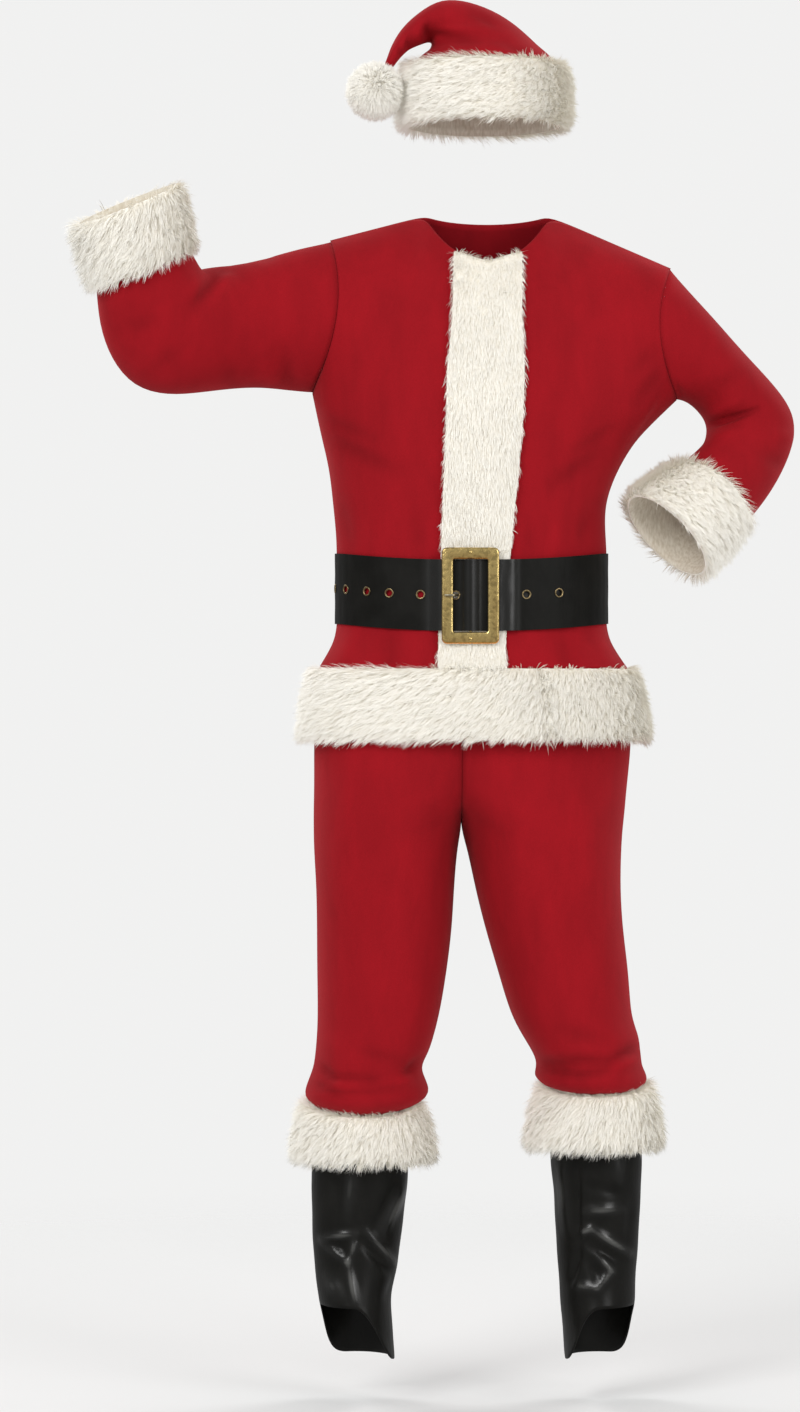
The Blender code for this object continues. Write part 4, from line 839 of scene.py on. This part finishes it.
def grow_fur(name, skin, count, length, comb, lean, rough, keep, seed, droop=0.12, gather=0.18, clump=7):
    """Strands over a skin: combed, drawn together in locks, bent by their weight, a few of them stray."""
    draw = np.random.default_rng(seed)
    roots, normals = surface_draw(skin, count, keep, draw)
    combed = unit(np.broadcast_to(comb(roots) if callable(comb) else np.array(comb, float), roots.shape))
    combed = combed - normals * np.sum(combed * normals, axis=1, keepdims=True)
    lock = surface_lock(roots, max(1, count // clump), draw)
    lock_way = draw.normal(size=(lock.max() + 1, 3)) * rough
    lock_size = draw.uniform(0.85, 1.10, size=lock.max() + 1)
    stray = 1 + STRAY_MORE * (draw.uniform(size=(count, 1)) < STRAY_SHARE)
    uneven = lock_way[lock] + draw.normal(size=roots.shape) * rough * 0.5
    way = unit(normals + combed * lean + uneven * lean * stray)
    outward = np.sum(way * normals, axis=1)
    way = unit(way + normals * np.clip(LEAST_RISE - outward, 0, None)[:, None])
    size = (length * lock_size[lock] * draw.uniform(0.75, 1.1, size=count))[:, None]
    middles = roots + way * size * 0.5
    tips = roots + way * size * 0.95 + combed * size * 0.10 - np.array([0, 0, 1.0]) * size * droop * 0.5
    centre = np.zeros((lock.max() + 1, 3))
    number = np.bincount(lock, minlength=lock.max() + 1)[:, None]
    np.add.at(centre, lock, tips)
    centre = centre / np.maximum(number, 1)
    drawn = (centre[lock] - tips) * gather / stray
    tips = tips + drawn
    middles = middles + drawn * 0.2
    sideways = unit(np.cross(way, normals + draw.normal(size=roots.shape) * 0.25)) * sizes().strand / 2
    own_shade = draw.normal(0.96, 0.05, size=count)
    lock_shade = draw.normal(0.98, 0.05, size=lock.max() + 1)
    shade = np.clip(own_shade * lock_shade[lock], 0.6, 1)
    return strand_mesh(name, roots - normals * ROOT_DEPTH, middles, tips, sideways, shade, normals)


def surface_lock(roots, count, draw):
    """The tuft that each root belongs to."""
    chosen = draw.choice(len(roots), size=count, replace=False)
    tree = KDTree(count)
    for number, index in enumerate(chosen):
        tree.insert(roots[index], number)
    tree.balance()
    return np.array([tree.find(root)[1] for root in roots])


def away_from(centre, axis):
    """Gives each point's way out from an axis."""
    way = unit(np.array(axis, float))

    def away(points):
        out = points - centre
        return unit(out - (out @ way)[:, None] * way)
    return away


def furry(away, limit):
    """Picks the faces of a band that look outwards."""
    def keep(middle, facing):
        return np.sum(away(middle) * facing, axis=1) > limit
    return keep


def back_faces(mesh, keep):
    """Gives the faces that carry no fur the second material."""
    furred = keep(vectors_of(mesh.polygons, "center"), vectors_of(mesh.polygons, "normal"))
    mesh.polygons.foreach_set("material_index", np.where(furred, 0, 1).astype(np.int32))


def furred_sheet(node, skin, pile, keep=None):
    """One cut of fur: its body, with the knitted back where keep leaves the fur out, and its strands."""
    body = add_piece(node + "_body", skin, [material("fur_base", fur_base_material),
                                            material("fur_backing", backing_material)], [node])
    if keep:
        back_faces(skin, keep)
    pile = add_piece(node + "_pile", pile, [material("fur_strands", fur_material)])


def make_band(node, axis, turn, down, width, length, inset, rough, reach, seed):
    low, high = (np.array(corner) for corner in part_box(node))
    away = away_from((low + high) / 2, axis)
    skin = band_skin(node, inset / 1000, 2, away)
    keep = furry(away, reach)
    way = unit(np.array(axis, float))

    def comb(roots):
        return turn * np.cross(away(roots), way) - down * np.array([0.0, 0.0, 1.0]) + 0.8 * away(roots)
    count = int(sizes().density * width * length * 1e4)
    pile = grow_fur(node + "_pile", skin, count, sizes().pile, comb, BAND_LEAN, rough, keep, seed)
    furred_sheet(node, skin, pile, keep)


class SUIT_OT_cloth(bpy.types.Operator):
    """Makes the velour of jacket, trousers and hat"""
    bl_idname = "suit.cloth"
    bl_label = "Make the velour cloth"

    def execute(self, context):
        velour = material("red_velour", velour_material)
        for node, folds, levels, width, length, area in CLOTH:
            skin = refined(outer_skin(node, sizes().cloth), node + "_cloth", levels)
            swell = 0.0016 if node != "hat_crown" else 0.0008
            shaped(skin, folds, swell, wavelength=0.16, seed=sizes().seed)
            piece = thick(add_piece(node + "_cloth", skin, [velour], [node]), sizes().cloth)
        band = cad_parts["trouser_waistband"]
        band.data.materials.clear()
        band.data.materials.append(velour)
        return {"FINISHED"}


class SUIT_OT_fur(bpy.types.Operator):
    """Makes the fur of hem, cuffs and hat band"""
    bl_idname = "suit.fur"
    bl_label = "Make the fur bands"

    def execute(self, context):
        for number, band in enumerate(BANDS):
            make_band(*band, sizes().seed + number)
        return {"FINISHED"}


class SUIT_OT_front_fur(bpy.types.Operator):
    """Makes the fur down the front, flat under the belt"""
    bl_idname = "suit.front_fur"
    bl_label = "Make the front fur band"

    def execute(self, context):
        node = "front_fur_band"
        belt_low, belt_high = FRONT_BELT

        def forward(points):
            return np.broadcast_to([0.0, -1.0, 0.0], points.shape)
        skin = band_skin(node, 0.0015, 2, forward)

        def keep(middle, facing):
            pressed = (middle[:, 2] > belt_low - 0.004) & (middle[:, 2] < belt_high + 0.004)
            return (facing[:, 1] < 0.1) & ~pressed
        count = int(sizes().density * FRONT_FUR_WIDTH * FRONT_FUR_LENGTH * FRONT_FUR_SHARE * 1e4)
        pile = grow_fur(node + "_pile", skin, count, sizes().front_pile, (0.05, 0.0, -1.0), FRONT_LEAN,
                        FRONT_ROUGH, keep, sizes().seed + 20)
        points = coordinates(pile)
        under_top = smooth_step(points[:, 2], belt_high + PRESSED_END, belt_high)
        over_foot = smooth_step(points[:, 2], belt_low - PRESSED_END, belt_low)
        points[:, 2] += under_top * over_foot * 0.010
        set_coordinates(pile, points)
        furred_sheet(node, skin, pile)
        return {"FINISHED"}


class SUIT_OT_pompom(bpy.types.Operator):
    """Makes the hat's pompom"""
    bl_idname = "suit.pompom"
    bl_label = "Make the pompom"

    def execute(self, context):
        low, high = (np.array(corner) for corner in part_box("hat_pompom"))
        centre = (low + high) / 2
        radius = float((high - low).max() / 2)
        bm = bmesh.new()
        bmesh.ops.create_icosphere(bm, subdivisions=4, radius=radius * POMPOM_BODY,
                                   matrix=Matrix.Translation(Vector(centre)))
        skin = mesh_from(bm, "hat_pompom_body")
        skin.shade_smooth()

        def everywhere(middle, facing):
            return np.ones(len(middle), bool)
        pile = grow_fur("hat_pompom_pile", skin, POMPOM_STRANDS, radius * POMPOM_PILE, POMPOM_COMB, 1.5, 0.30,
                        everywhere, sizes().seed + 30, clump=5)
        body = add_piece("hat_pompom_body", skin, [material("fur_base", fur_base_material)],
                         ["hat_pompom"])
        add_piece("hat_pompom_pile", pile, [material("fur_strands", fur_material)])
        return {"FINISHED"}


# The belt's line: the waist's right and left edge, its front and back depth, and the strap's heights
WAIST_EDGES = ((336.8 - NECK_PX) * PIXEL, (606.0 - NECK_PX) * PIXEL)
WAIST_FRONT = -0.126
WAIST_BACK = 0.100
WAIST_MIDDLE = -0.006
WAIST_POWER = 2.0 / 2.3
BELT_WIDTH = 0.0955
BELT_SIDE_Z = -0.5105
BELT_FRONT_DROP = 0.0116
BELT_FRONT_Z = BELT_SIDE_Z - BELT_FRONT_DROP
FRONT_BELT = (BELT_FRONT_Z - BELT_WIDTH / 2, BELT_FRONT_Z + BELT_WIDTH / 2)
BUCKLE_X = -0.0246
BUCKLE_RISE = 0.0104
BAR_TOP = 0.0146
STRAP_LIFT = 0.0072
BELT_TIP_X = 0.1184
STRAP_WAVE = 0.0004
# The air under the strap, and between its start and its tip
STRAP_GAP = 0.0006
LAP_GAP = 0.0004
# Where the strap comes down beside the fur, beside the buckle's rails and beside its bar (metres away)
FUR_SLOPE = (0.003, 0.016)
RAIL_SLOPE = (0.0385, 0.055)
BAR_SLOPE = (0.0030, 0.0140)
# The eyelets' hole, and the section of their rings as radius and height (metres)
HOLE = 0.0050
RING = ((0.0050, 0.0006), (0.0058, 0.0009), (0.0064, 0.0004), (0.0064, 0.0), (0.0046, -0.0013),
        (0.0043, -0.0013), (0.0043, 0.0004))
RING_LIFT = 0.0009
FUR_EDGES = ((438.9 - NECK_PX) * PIXEL, (506.0 - NECK_PX) * PIXEL)
PRESSED_FUR = 0.0036


def bent(value, power):
    return np.sign(value) * np.abs(value) ** power


def waist_point(angle):
    """A point on the jacket's waist; the angle turns from the front to the wearer's left."""
    low, high = WAIST_EDGES
    x = (low + high) / 2 + (high - low) / 2 * bent(np.sin(angle), WAIST_POWER)
    cosine = bent(np.cos(angle), WAIST_POWER)
    depth = np.where(cosine > 0, WAIST_FRONT - WAIST_MIDDLE, WAIST_MIDDLE - WAIST_BACK)
    y = WAIST_MIDDLE + depth * cosine
    return np.stack([x, y, np.zeros_like(x)], axis=-1)


def waist_normal(angle):
    step = 1e-3
    along = waist_point(angle + step) - waist_point(angle - step)
    return unit(np.stack([along[..., 1], -along[..., 0], np.zeros_like(along[..., 0])], axis=-1))


def waist_angle(x):
    angles = np.linspace(-1.5, 1.5, 800)
    return float(np.interp(x, waist_point(angles)[:, 0], angles))


def strap_rise(angle):
    """Height of the strap's inner face over the jacket, from its start at the bar to its tip."""
    x = waist_point(angle)[..., 0]
    front = np.cos(angle) > 0
    low_edge, high_edge = FUR_EDGES
    off_fur = np.maximum(low_edge - x, x - high_edge)
    rise = STRAP_GAP + PRESSED_FUR * np.where(front, 1 - smooth_step(off_fur, *FUR_SLOPE), 0.0)
    over_start = smooth_step(x, BUCKLE_X - 0.014, BUCKLE_X + 0.001) * front
    beside = np.abs(x - BUCKLE_X)
    lifted = STRAP_LIFT * (1 - smooth_step(beside, *RAIL_SLOPE)) * front
    free = np.maximum(rise + over_start * (sizes().vinyl + LAP_GAP), lifted)
    over_bar = (1 - smooth_step(beside, *BAR_SLOPE)) * front
    free = free + (BAR_TOP - free) * over_bar
    return np.where(angle > math.pi, free, rise)


def strap_height(angle):
    return BELT_SIDE_Z - BELT_FRONT_DROP * np.clip(np.cos(angle), 0, 1) ** 2


def wall_boolean(piece, cutter_mesh):
    """Cuts a mesh out of a piece and applies it."""
    cutter = linked(bpy.data.objects.new("cutter", cutter_mesh))
    cut = piece.modifiers.new("holes", "BOOLEAN")
    cut.operation = "DIFFERENCE"
    cut.object = cutter
    graph = bpy.context.evaluated_depsgraph_get()
    mesh = bpy.data.meshes.new_from_object(piece.evaluated_get(graph))
    piece.modifiers.clear()
    piece.data = mesh
    bpy.data.objects.remove(cutter)
    return mesh


def eyelet_frames():
    """Centre and turn of each eyelet, from its node: its thinnest way points off the waist."""
    places = []
    for node in EYELETS:
        points = coordinates(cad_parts[node].data)
        centre = (points.min(axis=0) + points.max(axis=0)) / 2
        spread = np.linalg.svd(points - points.mean(axis=0), full_matrices=False)[2][2]
        way = Vector(spread)
        if way.y > 0:
            way.negate()
        if abs(way.y) < 0.2 and way.x * centre[0] < 0:
            way.negate()
        places.append(Matrix.Translation(Vector(centre)) @ way.to_track_quat("Z", "Y").to_matrix().to_4x4())
    return places


def near_buckle(angle, x):
    """How close the strap is to the bends beside and within the buckle, where it shines."""
    beside = np.abs(x - BUCKLE_X)
    bends = np.exp(-((beside - 0.046) / 0.013)**2) + 0.4 * np.exp(-(beside / 0.016)**2)
    return np.where(np.cos(angle) > 0, bends, 0.0)


def strap_mesh():
    """The strap's outer face, from its start at the buckle's bar once round the waist to its tip."""
    start = waist_angle(BUCKLE_X + 0.004)
    tip = waist_angle(BELT_TIP_X) + 2 * math.pi
    bm = bmesh.new()
    bmesh.ops.create_grid(bm, x_segments=420, y_segments=10, size=0.5)
    points = np.array([vert.co for vert in bm.verts])
    angle = start + (tip - start) * (points[:, 0] + 0.5)
    across = points[:, 1]
    base = waist_point(angle)
    normal = waist_normal(angle)
    x = base[:, 0]
    near = near_buckle(angle, x)
    ripple = STRAP_WAVE * np.sin(angle * 23) * np.sin(across * 7 + angle * 5)
    ripple += STRAP_WAVE * near * np.sin(x * 520 + across * 11) * np.sin(across * 14 + x * 90)
    outer = base + normal * (strap_rise(angle) + sizes().vinyl + np.abs(ripple))[:, None]
    outer[:, 2] = strap_height(angle) + across * BELT_WIDTH
    for vert, point in zip(bm.verts, outer):
        vert.co = point
    bmesh.ops.recalc_face_normals(bm, faces=bm.faces)
    mesh = mesh_from(bm, "belt_strap_vinyl")
    set_attribute(mesh, "gloss", np.clip(near, 0, 1))
    if np.sum(normals_of(mesh) * normal) < 0:
        mesh.flip_normals()
    mesh.shade_smooth()
    return mesh


def hole_cutter(places):
    bm = bmesh.new()
    for place in places:
        bmesh.ops.create_cone(bm, cap_ends=True, segments=24, radius1=HOLE, radius2=HOLE, depth=0.0044,
                              matrix=place)
    return mesh_from(bm, "strap_holes")


def eyelet_rings(places):
    rings = bmesh.new()
    for place in places:
        ring = bmesh.new()
        verts = [ring.verts.new((radius, 0.0, height + RING_LIFT)) for radius, height in RING]
        edges = [ring.edges.new((verts[k], verts[(k + 1) % len(verts)])) for k in range(len(verts))]
        bmesh.ops.spin(ring, geom=verts + edges, cent=(0, 0, 0), axis=(0, 0, 1), angle=2 * math.pi,
                       steps=28, use_merge=True)
        bmesh.ops.remove_doubles(ring, verts=ring.verts, dist=1e-6)
        bmesh.ops.recalc_face_normals(ring, faces=ring.faces)
        bmesh.ops.transform(ring, matrix=place, verts=ring.verts)
        part = mesh_from(ring, "ring")
        rings.from_mesh(part)
        bpy.data.meshes.remove(part)
    mesh = mesh_from(rings, "belt_eyelets")
    mesh.shade_smooth()
    return mesh


class SUIT_OT_belt(bpy.types.Operator):
    """Makes the vinyl strap with its eyelets"""
    bl_idname = "suit.belt"
    bl_label = "Make the belt"

    def execute(self, context):
        vinyl = material("vinyl_leather", vinyl_material)
        strap = add_piece("belt_strap_vinyl", strap_mesh(), [vinyl], ["belt_strap"])
        thick(strap, sizes().vinyl)
        places = eyelet_frames()
        mesh = wall_boolean(strap, hole_cutter(places))
        mesh.shade_smooth()
        mesh.set_sharp_from_angle(angle=math.radians(50))
        antique = material("antique_brass", brass_material, "antique_brass", colours().antique, 300.0, 0.30)
        add_piece("belt_eyelets", eyelet_rings(places), [antique], list(EYELETS))
        return {"FINISHED"}


# The prong's line: x from the buckle's middle and height over the jacket (metres)
PRONG = ((-0.0030, 0.0110), (-0.0058, 0.0082), (-0.0088, 0.0060), (-0.0120, 0.0049), (-0.0165, 0.0046),
         (-0.0190, 0.0066), (-0.0202, 0.0110), (-0.0209, 0.0156), (-0.0224, 0.0180), (-0.0260, 0.0186),
         (-0.0310, 0.0182), (-0.0345, 0.0180))
PRONG_RADIUS = 0.0018
RAIL = 0.0155
RAIL_BEVEL = 0.0034


def buckle_block(size, radius, middle, name):
    """A block round the buckle's middle, its upright corners rounded."""
    bm = bmesh.new()
    bmesh.ops.create_cube(bm, size=2.0)
    bmesh.ops.scale(bm, vec=size, verts=bm.verts)
    posts = [edge for edge in bm.edges if abs(edge.verts[0].co.y - edge.verts[1].co.y) > size[1]]
    bmesh.ops.bevel(bm, geom=posts, offset=radius, segments=6, profile=0.5, affect="EDGES", material=-1)
    bmesh.ops.translate(bm, vec=middle, verts=bm.verts)
    bmesh.ops.recalc_face_normals(bm, faces=bm.faces)
    return mesh_from(bm, name)


def buckle_frame_mesh(middle, half):
    outside = buckle_block(half, 0.007, middle, "block")
    holder = linked(bpy.data.objects.new("frame_block", outside))
    window = (half.x - RAIL, half.y * 2, half.z - RAIL)
    wall_boolean(holder, buckle_block(window, 0.0025, middle, "window"))
    rounding = holder.modifiers.new("edges", "BEVEL")
    rounding.width = RAIL_BEVEL
    rounding.segments = 4
    rounding.limit_method = "ANGLE"
    rounding.angle_limit = math.radians(50)
    mesh = plain_mesh(holder, "buckle_frame_brass")
    mesh.shade_smooth()
    mesh.set_sharp_from_angle(angle=math.radians(35))
    facing = normals_of(mesh)
    # The faces that look down and forward, where the brass gets its painted orange reflection
    set_attribute(mesh, "below", np.clip(-1.4 * facing[:, 2], 0, 1) * (facing[:, 1] < -0.2))
    return mesh


def prong_mesh(jacket_front):
    curve = bpy.data.curves.new("prong_line", "CURVE")
    curve.dimensions = "3D"
    curve.bevel_depth = PRONG_RADIUS
    curve.bevel_resolution = 4
    curve.use_fill_caps = True
    line = curve.splines.new("NURBS")
    line.points.add(len(PRONG) - 1)
    line.use_endpoint_u = True
    line.order_u = 3
    height = float(strap_height(np.array(0.0)))
    for point, (x, rise) in zip(line.points, PRONG):
        point.co = (BUCKLE_X + x, jacket_front - rise, height, 1.0)
    mesh = plain_mesh(linked(bpy.data.objects.new("prong_line", curve)), "buckle_prong_brass")
    mesh.shade_smooth()
    return mesh


def rivets_mesh(middle, half):
    bm = bmesh.new()
    flat = Matrix.Diagonal((1.0, 0.5, 1.0, 1.0))
    for side in (-1, 1):
        place = Vector((middle.x, middle.y - half.y - 0.0002, middle.z + side * (half.z - RAIL * 0.42)))
        bmesh.ops.create_uvsphere(bm, u_segments=16, v_segments=10, radius=0.0023,
                                  matrix=Matrix.Translation(place) @ flat)
    mesh = mesh_from(bm, "buckle_rivets")
    mesh.shade_smooth()
    return mesh


class SUIT_OT_buckle(bpy.types.Operator):
    """Makes the hammered frame, its bar, its prong and its two rivets"""
    bl_idname = "suit.buckle"
    bl_label = "Make the buckle"

    def execute(self, context):
        low, high = (Vector(corner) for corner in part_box("buckle_frame"))
        middle = (low + high) / 2
        half = (high - low) / 2
        brass = material("buckle_brass", brass_material, "buckle_brass", colours().brass, 160.0, 0.22)
        # The prong's paler copy of the brass is a painted highlight
        pale = material("prong_brass", brass_material, "prong_brass", (0.95, 0.84, 0.58, 1.0), 90.0, 0.20)
        add_piece("buckle_frame_brass", buckle_frame_mesh(middle, half), [brass], ["buckle_frame"])
        prong = prong_mesh(high.y + BUCKLE_RISE)
        add_piece("buckle_prong_brass", prong, [pale], ["buckle_prong"])
        add_piece("buckle_rivets", rivets_mesh(middle, half), [brass])
        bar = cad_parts["buckle_bar"]
        bar.data.materials.clear()
        bar.data.materials.append(brass)
        return {"FINISHED"}


class SUIT_OT_boot_tops(bpy.types.Operator):
    """Makes the creased vinyl boot tops"""
    bl_idname = "suit.boot_tops"
    bl_label = "Make the boot tops"

    def execute(self, context):
        vinyl = material("vinyl_leather", vinyl_material)
        for node in ("boot_top_right", "boot_top_left"):
            skin = refined(outer_skin(node, sizes().vinyl), node + "_vinyl", 3)
            shaped(skin, BOOT_FOLDS, swell=0.0016, wavelength=0.07, seed=sizes().seed + 3, hold=0.002)
            ridge = np.empty(len(skin.vertices), np.float32)
            skin.attributes["ridge"].data.foreach_get("value", ridge)
            set_attribute(skin, "gloss", 0.16 + 0.80 * ridge)
            piece = thick(add_piece(node + "_vinyl", skin, [vinyl], [node]), sizes().vinyl)
        return {"FINISHED"}


def make_floor():
    bm = bmesh.new()
    bmesh.ops.create_grid(bm, x_segments=40, y_segments=40, size=FLOOR_REACH,
                          matrix=Matrix.Translation((0.0, 0.0, FLOOR_Z)))
    mesh = mesh_from(bm, "floor")
    mesh.materials.append(floor_material())
    floor = linked(bpy.data.objects.new("floor", mesh))
    floor.visible_glossy = False


def make_surround():
    """Even light from all round, which looks darker where it mirrors in vinyl and brass."""
    world = bpy.data.worlds.new("studio")
    world.use_nodes = True
    nodes = world.node_tree.nodes
    join = world.node_tree.links.new
    rays = nodes.new("ShaderNodeLightPath")
    mirrored = nodes.new("ShaderNodeMixRGB")
    mirrored.inputs["Color1"].default_value = (1.0, 1.0, 1.0, 1.0)
    mirrored.inputs["Color2"].default_value = MIRRORED
    join(rays.outputs["Is Glossy Ray"], mirrored.inputs["Fac"])
    seen = nodes.new("ShaderNodeMixRGB")
    seen.inputs["Color2"].default_value = tuple(part / WORLD_LIGHT for part in SURROUND) + (1.0,)
    join(rays.outputs["Is Camera Ray"], seen.inputs["Fac"])
    join(mirrored.outputs["Color"], seen.inputs["Color1"])
    join(seen.outputs["Color"], nodes["Background"].inputs["Color"])
    nodes["Background"].inputs["Strength"].default_value = WORLD_LIGHT
    bpy.context.scene.world = world


def make_lights():
    for name, (place, size, power) in LIGHTS.items():
        light = bpy.data.lights.new(name, "AREA")
        light.size = size
        light.energy = power
        lamp = linked(bpy.data.objects.new(name, light))
        lamp.location = place
        lamp.rotation_euler = (SUIT_MIDDLE - Vector(place)).to_track_quat("-Z", "Y").to_euler()


def make_camera():
    lens = bpy.data.cameras.new("camera")
    lens.sensor_width = SENSOR
    lens.lens = SENSOR * -CAMERA.y / (PICTURE_HEIGHT * PIXEL)
    camera = linked(bpy.data.objects.new("camera", lens))
    camera.location = CAMERA
    camera.rotation_euler = (math.pi / 2, 0.0, 0.0)
    bpy.context.scene.camera = camera
    bpy.context.scene.view_settings.view_transform = "Standard"


class SUIT_OT_stage(bpy.types.Operator):
    """Makes the floor, the soft lights and the camera"""
    bl_idname = "suit.stage"
    bl_label = "Make the stage"

    def execute(self, context):
        make_floor()
        make_surround()
        make_lights()
        make_camera()
        return {"FINISHED"}


OPERATORS = (SUIT_OT_stage, SUIT_OT_cloth, SUIT_OT_fur, SUIT_OT_front_fur, SUIT_OT_pompom, SUIT_OT_belt,
             SUIT_OT_buckle, SUIT_OT_boot_tops)


class SUIT_PT_panel(bpy.types.Panel):
    """Lists the suit's sizes, colours and pieces"""
    bl_idname = "SUIT_PT_panel"
    bl_label = "Santa suit"
    bl_space_type = "VIEW_3D"
    bl_region_type = "UI"
    bl_category = "Santa suit"

    def draw(self, context):
        for group in (context.scene.suit_sizes, context.scene.suit_colours):
            for name in type(group).__annotations__:
                self.layout.prop(group, name)
        for operator in OPERATORS:
            self.layout.operator(operator.bl_idname)


CLASSES = (SuitSizes, SuitColours) + OPERATORS + (SUIT_PT_panel,)


def register():
    for item in CLASSES:
        bpy.utils.register_class(item)
    bpy.types.Scene.suit_sizes = PointerProperty(type=SuitSizes)
    bpy.types.Scene.suit_colours = PointerProperty(type=SuitColours)


def unregister():
    del bpy.types.Scene.suit_colours
    del bpy.types.Scene.suit_sizes
    for item in reversed(CLASSES):
        bpy.utils.unregister_class(item)


def main():
    register()
    for operator in OPERATORS:
        family, name = operator.bl_idname.split(".")
        getattr(getattr(bpy.ops, family), name)()


if __name__ == "__main__":
    main()
